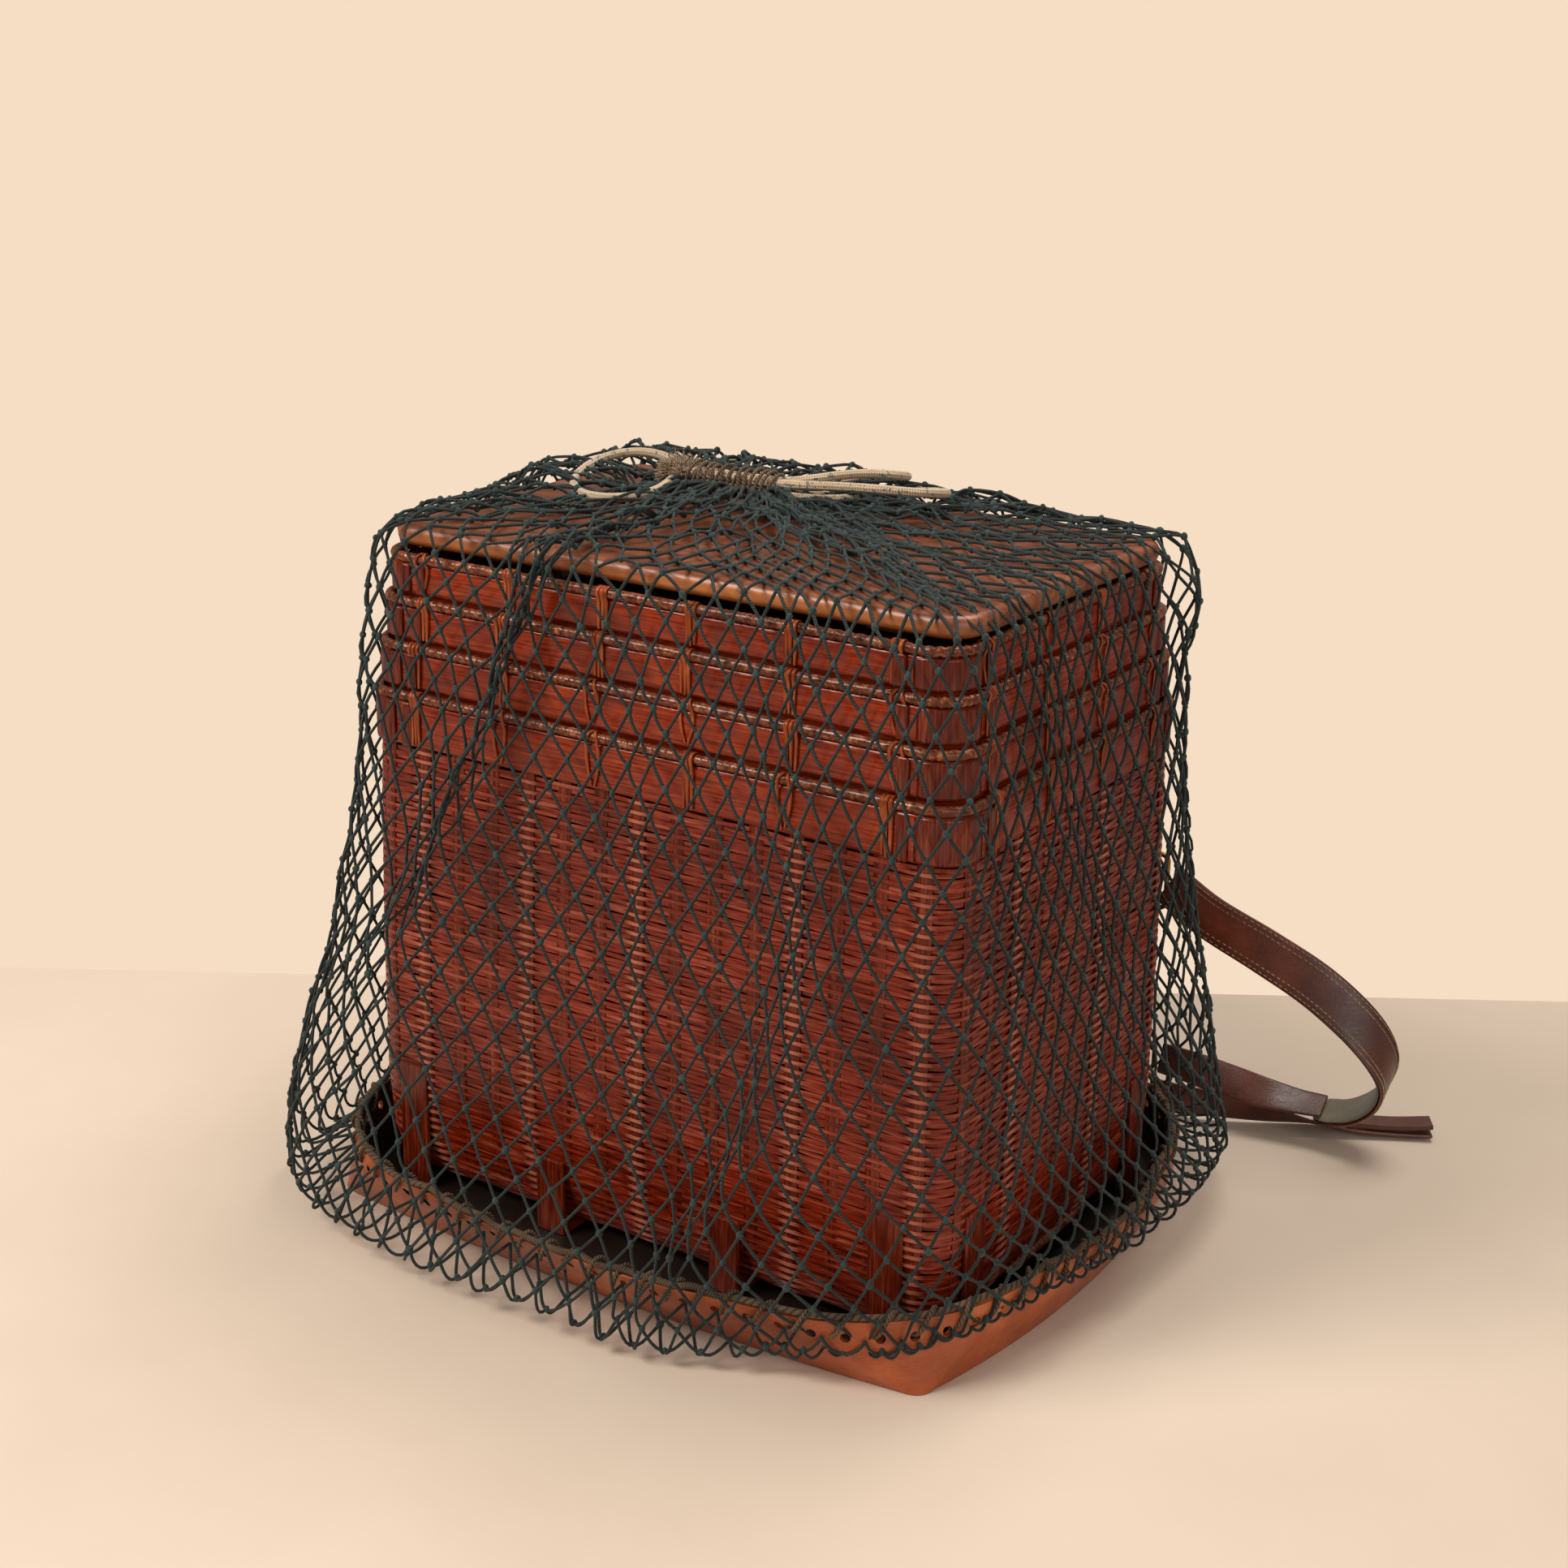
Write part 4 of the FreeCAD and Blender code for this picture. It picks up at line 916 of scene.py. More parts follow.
def make_leather_base():
    top = base_high.z
    profile = [(0.0, 0.0, 0.0), (0.96, 0.0, 0.0), (1.0, 0.0, 0.35 * mm), (1.0, 0.0, 1.6 * mm)]
    profile += [(1.0, 0.0, top * step / 8) for step in range(1, 8)]
    profile += [(1.0, 0.2 * mm, top - 0.3 * mm), (1.0, 1.6 * mm, top + 0.2 * mm),
                (1.0, leather_thickness - 0.2 * mm, top - 0.3 * mm)]
    profile += [(1.0, leather_thickness, top * step / 4) for step in (3, 2, 1)]
    profile += [(1.0, leather_thickness, leather_thickness), (0.9, leather_thickness, leather_thickness),
                (0.0, leather_thickness, leather_thickness)]
    table = np.array(profile)

    def place(u, v, k):
        row = np.rint(v * (len(table) - 1)).astype(int)
        scale, inset, z = table[row, 0], table[row, 1], table[row, 2]
        x, y = np.zeros_like(u), np.zeros_like(u)
        for value in sorted(set(inset)):
            chosen = inset == value
            bx, by = base_wall(u[chosen], z[chosen], value)
            x[chosen], y[chosen] = bx, by
        wave = 0.5 * mm * np.sin(math.tau * 7 * u + 1.3) * (z / top) * (scale == 1)
        length = np.maximum(np.hypot(x, y), 1e-6)
        return stacked(x * scale + x / length * wave, y * scale + y / length * wave, z)

    piece = laid_grids("leather_tray", 1, 320, len(table) - 1, place)
    cutter_shape = bmesh.new()
    spots = even_shares(eyelet_count)
    z = base_high.z - eyelet_drop
    x, y = base_wall(spots, np.full_like(spots, z))
    bx, by = base_wall(spots + 0.001, np.full_like(spots, z))
    for number in range(eyelet_count):
        along = Vector((bx[number] - x[number], by[number] - y[number], 0)).normalized()
        outward = Vector((along.y, -along.x, 0))
        turn = outward.to_track_quat("Z", "Y").to_matrix().to_4x4()
        bmesh.ops.create_cone(cutter_shape, cap_ends=True, segments=12, radius1=eyelet_radius,
                              radius2=eyelet_radius, depth=punch_depth,
                              matrix=Matrix.Translation((x[number], y[number], z)) @ turn)
    punch = piece_from("eyelet_punch", cutter_shape)
    cut = piece.modifiers.new("holes", "BOOLEAN")
    cut.object = punch
    cut.solver = "EXACT"
    freeze(piece)
    bpy.data.objects.remove(punch)
    dress(piece, "sack_and_basket", "leather", ("leather_base",), smooth=False)
    shade_by_angle(piece, 40)


def shade_by_angle(piece, degrees):
    """Smooth shading, with edges sharper than an angle left crisp."""
    limit = math.radians(degrees)
    with reshaped(piece.data) as shape:
        for face in shape.faces:
            face.smooth = True
        for edge in shape.edges:
            if len(edge.link_faces) != 2 or edge.calc_face_angle(0) > limit:
                edge.smooth = False


def tube_mesh(name, lines, radius, sides=2, closed=False):
    """A mesh of round tubes along lists of points."""
    curve = bpy.data.curves.new(name, "CURVE")
    curve.dimensions = "3D"
    curve.bevel_depth = radius
    curve.bevel_resolution = sides
    curve.use_fill_caps = True
    for points in lines:
        spline = curve.splines.new("POLY")
        spline.points.add(len(points) - 1)
        flat = np.ones((len(points), 4))
        flat[:, :3] = points
        spline.points.foreach_set("co", flat.ravel())
        spline.use_cyclic_u = closed
    holder = bpy.data.objects.new(name, curve)
    bpy.context.scene.collection.objects.link(holder)
    view = bpy.context.evaluated_depsgraph_get()
    mesh = bpy.data.meshes.new_from_object(holder.evaluated_get(view))
    bpy.data.objects.remove(holder)
    mesh.name = name
    lengths = [np.linalg.norm(np.diff(np.array(points), axis=0), axis=1).sum() for points in lines]
    counts = np.array([len(points) for points in lines])
    ring = len(mesh.vertices) / counts.sum()
    of_vertex = np.repeat(np.array(lengths), np.rint(counts * ring).astype(int))
    of_vertex = np.resize(of_vertex, len(mesh.vertices))
    uv = mesh.uv_layers[0].data
    flat = np.empty(len(uv) * 2)
    uv.foreach_get("uv", flat)
    corner = np.empty(len(mesh.loops), int)
    mesh.loops.foreach_get("vertex_index", corner)
    flat = flat.reshape(-1, 2)
    flat[:, 0] *= of_vertex[corner]
    uv.foreach_set("uv", flat.ravel())
    return bpy.data.objects.new(name, mesh)


def make_lacing():
    """A cord that loops through each eyelet and over the rim, and one that lies along the rim."""
    turns = eyelet_count
    steps = 14
    share = np.linspace(0, 1, turns * steps, endpoint=False)
    spots = np.interp(share, np.arange(turns + 1) / turns, np.append(even_shares(turns), 1.0))
    phase = math.tau * share * turns
    z = base_high.z - 1.9 * mm - 6.6 * mm * np.cos(phase)
    out = 0.2 * mm + 3.1 * mm * np.sin(phase)
    x0, y0 = base_wall(spots, np.full_like(z, base_high.z - 2 * mm), 1.6 * mm)
    x1, y1 = base_wall(spots, np.full_like(z, base_high.z - 2 * mm))
    away = np.stack((x1 - x0, y1 - y0), axis=-1)
    away /= np.linalg.norm(away, axis=1)[:, None]
    line = stacked(x0 + away[:, 0] * out, y0 + away[:, 1] * out, z)
    loops = tube_mesh("rim_loops", [line], 1.15 * mm, 1, True)
    dress(loops, "sack_and_basket", "lacing", ("rim_lacing",))
    dense = np.linspace(0, 1, 500, endpoint=False)
    rx, ry = base_wall(dense, np.full_like(dense, base_high.z), 1.2 * mm)
    wobble = 0.7 * mm * np.sin(dense * math.tau * 31) + 0.5 * mm * np.sin(dense * math.tau * 47 + 1)
    rope = tube_mesh("rim_rope", [stacked(rx, ry, base_high.z + 2.3 * mm + wobble)], 1.7 * mm, 2, True)
    dress(rope, "sack_and_basket", "lacing")


# The net: a sack of diamond meshes, laid in folds over the basket and relaxed

net_columns = 80
net_rows = 42
fold_rows = 2
hem_rows = fold_rows + 3
bar_length = 16.3 * mm
twine_radius = 0.85 * mm
knot_low, knot_high = 1.6 * mm, 2.1 * mm
mouth = Vector((-54, 41, 384.5)) * mm
mouth_half = (26 * mm, 8 * mm)
fold_slack = 10 * mm
hem_reach = 75 * mm
left_hump = 13 * mm
rear_hump = 9 * mm
mouth_rise = 9 * mm
rear_push = 9 * mm
twine_room = 1.6 * mm
hinge_room = 9.5 * mm
table_room = 2.5 * mm
rest_corner = 16 * mm
relax_steps = 60
pulls_each_step = 5
bar_stretch, bar_squeeze = 0.9, 0.002
net_sag = 0.10 * mm
knot_scatter = 0.9 * mm
crown_front = -123 * mm
crown_side = 179 * mm
rear_bend = ((0, 128 * mm, 352 * mm), (0, 94 * mm, 374 * mm))
strip_levels = (60 * mm, 205 * mm, 290 * mm, crown_low.z - 5 * mm)
skirt_height_shares = np.array((0.0, 0.10, 0.27, 0.5, 0.75, 1.0))
skirt_flare_shares = np.array((1.0, 0.93, 0.64, 0.37, 0.14, 0.0))
# The sack's lowest line from its front middle to the right, in mm
fold_line = ((0, -207, 5), (60, -197, 6), (116, -171, 9), (150, -157, 16), (176, -150, 25), (197, -112, 35),
             (215, -62, 36), (229, 0, 30), (232, 78, 27), (222, 136, 28), (196, 172, 20), (140, 192, 12),
             (60, 200, 8), (-60, 200, 8), (-150, 192, 10), (-206, 160, 12), (-226, 100, 13), (-230, 0, 13),
             (-231, -90, 13), (-224, -150, 13), (-180, -188, 9), (-117, -203, 6), (-53, -207, 5))
# Folds: width in columns, depth, then height (0 hem, 1 lid edge, 2 mouth), place round the sack and pull
net_folds = (
    (3.0, 12, ((0.20, -0.122, 0.0), (0.45, -0.098, 0.85), (0.66, -0.080, 0.95), (0.87, -0.062, 0.97),
               (1.0, -0.048, 0.97), (1.6, -0.040, 0.92), (2.0, -0.040, 0.2))),
    (1.5, 5, ((0.22, 0.018, 0.0), (0.34, 0.016, 0.85), (0.66, 0.012, 0.88), (0.86, 0.008, 0.7),
              (0.95, 0.008, 0.0))),
    (2.3, 9, ((0.0, 0.020, 0.2), (0.14, 0.048, 0.85), (0.30, 0.070, 0.92), (0.57, 0.085, 0.85),
              (0.80, 0.062, 0.4), (0.95, 0.062, 0.0))),
    (2.4, 5, ((0.85, 0.150, 0.0), (0.97, 0.150, 0.4), (1.1, 0.158, 0.88), (1.7, 0.158, 0.85),
              (2.0, 0.158, 0.0))),
    (1.8, 3, ((0.1, 0.290, 0.0), (0.40, 0.262, 0.5), (0.70, 0.230, 0.5), (0.97, 0.200, 0.3),
              (1.3, 0.200, 0.0))),
    (2.2, 5, ((0.0, 0.352, 0.0), (0.5, 0.352, 0.5), (1.0, 0.352, 0.6), (1.6, 0.352, 0.6), (2.0, 0.352, 0.0))),
    (2.4, 6, ((0.1, 0.430, 0.0), (0.5, 0.425, 0.7), (1.0, 0.425, 0.75), (1.6, 0.425, 0.5),
              (2.0, 0.425, 0.0))),
    (2.4, 6, ((0.1, 0.500, 0.0), (0.5, 0.505, 0.7), (1.0, 0.510, 0.75), (1.6, 0.510, 0.5),
              (2.0, 0.510, 0.0))),
    (2.4, 6, ((0.2, 0.590, 0.0), (0.6, 0.590, 0.7), (1.0, 0.590, 0.7), (1.6, 0.590, 0.4), (2.0, 0.590, 0.0))),
    (2.2, 5, ((0.1, 0.655, 0.0), (0.6, 0.665, 0.5), (1.0, 0.665, 0.6), (1.6, 0.665, 0.3), (2.0, 0.665, 0.0))),
    (2.4, 5, ((0.1, 0.740, 0.0), (0.5, 0.745, 0.6), (1.0, 0.745, 0.7), (1.6, 0.745, 0.4), (2.0, 0.745, 0.0))),
    (2.2, 4, ((0.1, 0.840, 0.0), (0.5, 0.845, 0.4), (1.0, 0.850, 0.6), (1.6, 0.850, 0.5), (2.0, 0.850, 0.0))))


def eased(value):
    value = np.clip(value, 0, 1)
    return value * value * (3 - 2 * value)


def folded(share, height):
    """Draws shares round the sack into its folds, and how far each place stands out there."""
    moved, out = share.copy(), np.zeros_like(share)
    for width, depth, knots in net_folds:
        heights, places, pulls = zip(*knots)
        centre = np.interp(height, heights, places)
        pull = np.interp(height, heights, pulls, left=0.0, right=0.0)
        offset = np.mod(share - centre + 0.5, 1.0) - 0.5
        near = np.exp(-(offset * net_columns / width) ** 2 / 2)
        moved = moved - pull * offset * near
        out = out + depth * mm * pull * near * (0.62 + 0.38 * np.cos(math.pi * net_columns * share))
    return moved, out


def ripple(share, height, seed, size):
    """Slow uneven waves over the net."""
    chance = np.random.default_rng(seed)
    total = np.zeros(np.broadcast(share, height).shape)
    for _ in range(7):
        turns, climbs, start = chance.integers(3, 17), chance.uniform(-7, 7), chance.uniform(0, math.tau)
        total = total + np.sin(math.tau * (turns * share + climbs * height) + start)
    return total * size / 2.6


def skirt_outline(share, z):
    low_z, high_z = hem_high.z, crown_low.z
    height = np.clip((z - low_z) / (high_z - low_z), 0, 1)
    flare = np.interp(height, skirt_height_shares, skirt_flare_shares)
    half_x = crown_high.x + (hem_high.x - crown_high.x) * flare
    half_y = crown_high.y + (hem_high.y - crown_high.y) * flare
    corner = 18 * mm + 57 * mm * flare
    return round_outline(share, half_x - 2 * mm, half_y - 2 * mm, corner)


def lowest_line(share):
    """The sack's lowest line at a share of its run."""
    points = np.array(fold_line + fold_line[:1], float) * mm
    run = np.concatenate(([0.0], np.cumsum(np.hypot(*np.diff(points[:, :2], axis=0).T))))
    at = np.mod(share, 1.0) * run[-1]
    return tuple(np.interp(at, run, points[:, axis]) for axis in range(3))


def net_start():
    """Where each knot begins: down from the rim to the fold, up round the basket and over to the mouth."""
    rows = np.arange(net_rows + 1)[:, None] + np.zeros((1, net_columns))
    share = (np.arange(net_columns)[None, :] + 0.5 * (rows % 2)) / net_columns
    share = share + ripple(share, rows / net_rows, 5, 0.0022) * eased(rows / 6)
    edge_z = crown_high.z - 2 * mm
    ex, ey, _, _ = skirt_outline(share, np.full_like(share, edge_z))
    angle = np.arctan2(ey - mouth.y, ex - mouth.x)
    mx = mouth.x + mouth_half[0] * np.cos(angle)
    my = mouth.y + mouth_half[1] * np.sin(angle)
    over = np.hypot(ex - mx, ey - my)
    _, _, low_z = lowest_line(share)
    side = edge_z - low_z + fold_slack
    run = np.clip((rows - fold_rows) / (net_rows - fold_rows), 0, 1) * (side + over)
    climb = np.clip(run / side, 0, 1)
    inward = np.clip((run - side) / over, 0, 1)
    moved, out = folded(share, climb + inward)
    fx, fy, fz = lowest_line(moved)
    z = fz + (edge_z - fz) * climb
    x, y, nx, ny = skirt_outline(moved, z)
    bx, by, _, _ = skirt_outline(moved, fz)
    low = eased(1 - (z - fz) / hem_reach)
    x = x + (fx - bx) * low + nx * out
    y = y + (fy - by) * low + ny * out
    left = np.exp(-((np.mod(moved, 1.0) - 0.72) / 0.11) ** 2)
    rear = np.exp(-((np.mod(moved, 1.0) - 0.54) / 0.10) ** 2)
    hump = left_hump * left * np.sin(math.pi * np.clip(inward / 0.62, 0, 1)) ** 0.7
    hump = hump + rear_hump * rear * np.sin(math.pi * np.clip(inward / 0.95, 0, 1))
    top = lid_high.z + 2.5 * mm + mouth_rise * inward ** 2.5 + hump + out * (1 - inward)
    top = top + np.abs(ripple(share, inward, 9, 3 * mm)) * np.sin(math.pi * inward)
    on_top = climb >= 1
    y = y + rear_push * np.clip(ny, 0, 1) * eased((climb - 0.86) / 0.06)
    z = np.where(on_top, z + (top - z) * eased(inward * 14), z)
    x = np.where(on_top, x + (mx - x) * inward, x)
    y = np.where(on_top, y + (my - y) * inward, y)
    z = z + ripple(share, climb, 17, 2.2 * mm) * np.sin(math.pi * climb)
    wave = ripple(share, climb, 23, 2.0 * mm) * np.sin(math.pi * climb)
    places = stacked(x + nx * wave, y + ny * wave, z)
    rim_z = base_high.z - eyelet_drop
    rx, ry = base_wall(rim_lookup(share[0]), np.full(net_columns, rim_z), -1.2 * mm)
    places[0] = stacked(rx, ry, np.full(net_columns, rim_z))
    below = (places[0] + np.roll(places[0], -1, axis=0)) / 4
    places[1] = below + places[2] / 4 + np.roll(places[2], -1, axis=0) / 4
    places[1, :, 2] -= 2 * mm
    return places


def rim_lookup(share):
    """The base outline's share that lies beside a share of the net's own outline."""
    dense = np.linspace(0, 1, 1441)
    bx, by = base_wall(dense, np.full_like(dense, base_high.z - eyelet_drop))
    x, y, z = lowest_line(share)
    distance = (bx[None, :] - x[:, None]) ** 2 + (by[None, :] - y[:, None]) ** 2
    return dense[np.argmin(distance, axis=1)]


def basket_reach(z):
    """Half length and half width of what the net rests on, at a height."""
    heights = np.array((0, 8, 20, 45, 150, 290, 318, 342, 360, 373)) * mm
    reach = np.array((171, 172, 178, 184.5, 184.5, 184.5, 182, 179.5, 177, 175)) * mm
    half_x = np.interp(z, heights, reach)
    return half_x, half_x - (rim_high.x - rim_high.y)


def keep_off_base(places):
    """Moves knots out of the leather base."""
    dense = np.linspace(0, 1, 721)
    x, y, z = places[..., 0], places[..., 1], places[..., 2]
    angle = np.mod(np.arctan2(y, x), math.tau)
    radius = np.hypot(x, y)
    reach = []
    for height in (0.0, base_high.z):
        bx, by = base_wall(dense, np.full_like(dense, height))
        turn = np.mod(np.arctan2(by, bx), math.tau)
        order = np.argsort(turn)
        reach.append(np.interp(angle, turn[order], np.hypot(bx, by)[order], period=math.tau))
    share = np.clip(z / base_high.z, 0, 1)
    limit = reach[0] + (reach[1] - reach[0]) * share + twine_room
    push = np.where((z < base_high.z + 1 * mm) & (radius < limit), limit / np.maximum(radius, 1e-6), 1.0)
    places[..., 0] *= push
    places[..., 1] *= push


def keep_outside(places):
    """Moves knots out of the basket, the lid and the table."""
    x, y, z = places[..., 0], places[..., 1], places[..., 2]
    half_x, half_y = basket_reach(z)
    dx = np.abs(x) - (half_x - rest_corner)
    dy = np.abs(y) - (half_y - rest_corner)
    outside = np.hypot(np.maximum(dx, 0), np.maximum(dy, 0)) + np.minimum(np.maximum(dx, dy), 0)
    outside = outside - rest_corner
    behind_lid = eased((z - 318 * mm) / (14 * mm)) * (z < lid_high.z - 1 * mm) * (y > 100 * mm)
    clearance = twine_room + hinge_room * behind_lid
    depth = clearance - outside
    lid_depth = lid_high.z + twine_room - z
    to_side = (depth > 0) & (lid_depth > 0) & (depth < lid_depth)
    to_top = (depth > 0) & (lid_depth > 0) & ~to_side
    ax = np.where(dx > 0, np.maximum(dx, 1e-9), np.where(dx > dy, 1.0, 0.0))
    ay = np.where(dy > 0, np.maximum(dy, 1e-9), np.where(dy >= dx, 1.0, 0.0))
    ax = np.where((dx > 0) & (dy <= 0), 1.0, np.where((dy > 0) & (dx <= 0), 0.0, ax))
    ay = np.where((dy > 0) & (dx <= 0), 1.0, np.where((dx > 0) & (dy <= 0), 0.0, ay))
    norm = np.hypot(ax, ay) + 1e-12
    places[..., 0] = np.where(to_side, x + np.sign(x) * ax / norm * depth, x)
    places[..., 1] = np.where(to_side, y + np.sign(y) * ay / norm * depth, y)
    places[..., 2] = np.where(to_top, lid_high.z + twine_room, z)
    places[..., 2] = np.maximum(places[..., 2], table_room)


def pull_bars(places, pinned, stretch, squeeze):
    """Shortens bars that are too long and, a little, opens ones that are too short."""
    for parity, shift in ((0, 0), (0, -1), (1, 0), (1, 1)):
        lower = places[parity:-1:2]
        upper = places[parity + 1::2][:len(lower)]
        lower = lower[:len(upper)]
        partner = np.roll(upper, -shift, axis=1)
        gap = partner - lower
        length = np.linalg.norm(gap, axis=2, keepdims=True) + 1e-12
        excess = length - bar_length
        stiff = np.where(excess > 0, stretch, squeeze)
        move = gap / length * excess * stiff * 0.5
        free_low = 1.0 - pinned[parity:-1:2][:len(lower)]
        free_high = 1.0 - np.roll(pinned[parity + 1::2][:len(upper)], -shift, axis=1)
        total = free_low + free_high + 1e-9
        lower += move * 2 * free_low / total
        partner = partner - move * 2 * free_high / total
        places[parity + 1::2][:len(upper)] = np.roll(partner, shift, axis=1)


def relax_net():
    places = net_start()
    target = places.copy()
    pinned = np.zeros((net_rows + 1, net_columns, 1))
    pinned[0] = 1
    pinned[-1] = 1
    chance = np.random.default_rng(11)
    places[3:-1] += chance.normal(0, knot_scatter, places[3:-1].shape)
    over = eased((places[3:-1, :, 2:] - lid_high.z) / (6 * mm)) * np.array((4.2, 4.2, 2.6)) * mm
    target[3:-1] += chance.normal(0, 1, places[3:-1].shape) * over
    rows = np.arange(net_rows + 1)
    hold = np.interp(rows, [0, 2, 5, 12, net_rows - 12, net_rows],
                     [0.5, 0.5, 0.12, 0.06, 0.06, 0.08])[:, None, None] * np.array((1.0, 1.0, 0.6))
    for _ in range(relax_steps):
        places += (target - places) * hold * (1 - pinned)
        places[..., 2] -= net_sag * (1 - pinned[..., 0])
        for _ in range(pulls_each_step):
            pull_bars(places, pinned, bar_stretch, bar_squeeze)
        keep_outside(places)
        keep_off_base(places[1:9])
        places[0], places[-1] = target[0], target[-1]
    return places


def strands(places, first, last):
    """Points along the net's diagonal strands, and the column where each bar starts."""
    steps = 6 if first == 0 else 3
    rows = np.arange(first, last + 1)
    found = []
    for way in (0, 1):
        column = np.arange(net_columns)
        columns = [column]
        for row in rows[:-1]:
            shift = (row % 2) - way if way else row % 2
            column = (column + shift) % net_columns
            columns.append(column)
        columns = np.array(columns)
        knots = places[rows[:, None], columns]
        before = np.concatenate((knots[:1], knots[:-2]))
        after = np.concatenate((knots[2:], knots[-1:]))
        a, b = knots[:-1], knots[1:]
        length = np.linalg.norm(b - a, axis=2, keepdims=True)
        slack = np.maximum(bar_length - length, 0.0)
        sag = np.minimum(np.sqrt(0.375 * length * slack), 0.26 * bar_length)
        spin = np.sin(12.9898 * rows[:-1, None] + 78.233 * columns[:-1] + 37.7 * way)[..., None]
        outward = a * np.array((1 / 0.18, 1 / 0.12, 0))
        outward /= np.linalg.norm(outward, axis=2, keepdims=True) + 1e-9
        above = (a[..., 2:3] > crown_low.z).astype(float)
        lift = 0.35 * above * np.abs(spin) - 0.5 * (1 - above)
        lean = outward * (0.35 + 0.3 * spin) * (1 - above) + np.array((0, 0, 1)) * lift
        curl = np.where(rows[:-1] < 4, 1.35, 0.4)[:, None, None]
        parts = [a]
        for step in range(1, steps):
            s = step / steps
            straight = a + (b - a) * s
            smooth = 0.5 * (2 * a + (b - before) * s + (2 * before - 5 * a + 4 * b - after) * s ** 2
                            + (3 * a - before - 3 * b + after) * s ** 3)
            parts.append(straight + (smooth - straight) * curl + lean * sag * 4 * s * (1 - s))
        line = np.stack(parts, axis=1).reshape(-1, net_columns, 3)
        found.append((np.concatenate((line, knots[-1:])), columns))
    return found, steps


def strand_lines(places, first, last, chosen):
    """Lines of points along the net's strands between two rows, where the bar's lower knot is chosen."""
    found, steps = strands(places, first, last)
    rows = np.arange(first, last)
    lines = []
    for points, columns in found:
        kept = chosen[rows[:, None], columns[:-1]]
        for strand in range(net_columns):
            start = None
            for number, inside in enumerate(list(kept[:, strand]) + [False]):
                if inside and start is None:
                    start = number
                if not inside and start is not None:
                    lines.append(points[start * steps:number * steps + 1, strand])
                    start = None
    return lines


def turned(angles, axis):
    """Turning matrices about one axis, one for each angle."""
    c, s = np.cos(angles), np.sin(angles)
    turn = np.zeros((len(angles), 3, 3))
    others = [n for n in range(3) if n != axis]
    turn[:, axis, axis] = 1
    turn[:, others[0], others[0]] = c
    turn[:, others[1], others[1]] = c
    turn[:, others[0], others[1]] = -s
    turn[:, others[1], others[0]] = s
    return turn


def make_knots(name, places, chosen):
    """One lumpy knot where the bars of the net meet, each turned and sized a little differently."""
    centres = places[:net_rows][chosen[:net_rows]]
    count = len(centres)
    chance = np.random.default_rng(count)
    turn = turned(chance.uniform(0, math.tau, count), 2) @ turned(chance.uniform(-0.5, 0.5, count), 0)
    size = chance.uniform(knot_low, knot_high, count)[:, None] * \
        stacked(1.05 + 0 * chance.uniform(0, 1, count), 0.85, chance.uniform(1.0, 1.3, count))
    unit = bmesh.new()
    bmesh.ops.create_uvsphere(unit, u_segments=7, v_segments=5, radius=1.0)

    def place(local, k):
        return centres[k] + np.einsum("nij,nj->ni", turn[k], local * size[k])

    return laid_copies(name, unit, count, place)


def blend_or_ride(piece, finish, replaced, joined):
    dress(piece, None if joined else "sack_and_basket", finish, replaced)
    if joined:
        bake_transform(piece)


def make_crown_net(places, over):
    """The net over the lid in four pieces: the front and ends ride on the upper tray, and the rear stays
    where it is.
    """
    quarter = np.mod(np.arange(net_columns) / net_columns + 0.148, 1.0)
    sectors = (("front", 0.0, 0.296, (0, 1, 0), (0, crown_front, 0)),
               ("right", 0.296, 0.5, (1, 0, 0), (crown_side, 0, 0)),
               ("rear", 0.5, 0.796, None, None),
               ("left", 0.796, 1.01, (1, 0, 0), (-crown_side, 0, 0)))
    for name, low, high, axis, anchor in sectors:
        chosen = over & (quarter >= low) & (quarter < high)
        twine = tube_mesh("crown_twine_" + name, strand_lines(places, hem_rows, net_rows, chosen),
                          twine_radius, 1)
        knots = make_knots("crown_knots_" + name, places, chosen)
        for piece, finish, replaced in ((twine, "net", ("net_crown",)), (knots, "net_knots", ())):
            if axis:
                dress(piece, "upper_tray", finish, replaced)
                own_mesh(piece)
            else:
                blend_or_ride(piece, finish, replaced, ("upper_tray", "lid", *rear_bend))


def make_net():
    """The net: a hem that rides on the basket, strips cut at the heights of the trays that stay in place, and
    the net over the lid.
    """
    places = relax_net()
    rows = np.arange(net_rows + 1)[:, None]
    middle = places[..., 2] + 6 * mm
    steps = (("low", "sack_and_basket", "lower_tray"), ("middle", "lower_tray", "middle_tray"),
             ("high", "middle_tray", "upper_tray"))
    below = (rows < hem_rows) & (middle > -1)
    strips = [("hem", below, ("net_hem",), None)]
    for number, (name, lower, upper) in enumerate(steps):
        low = strip_levels[number] if number else -1
        chosen = (rows >= hem_rows) & (middle >= low) & (middle < strip_levels[number + 1])
        strips.append((name, chosen, ("net_skirt",),
                       (lower, upper, (0, 0, strip_levels[number]), (0, 0, strip_levels[number + 1]))))
    for name, chosen, replaced, joined in strips:
        first = 0 if name == "hem" else hem_rows
        last = hem_rows if name == "hem" else net_rows
        twine = tube_mesh("net_twine_" + name, strand_lines(places, first, last, chosen), twine_radius, 1)
        blend_or_ride(twine, "net", replaced, joined)
        knots = make_knots("net_knots_" + name, places, chosen & (rows > 0))
        blend_or_ride(knots, "net_knots", (), joined)
    make_crown_net(places, (rows >= hem_rows) & (middle >= strip_levels[3]))


# Drawstring: its loop, its two bights, the knot with its frayed yarn, and the whipped mouth

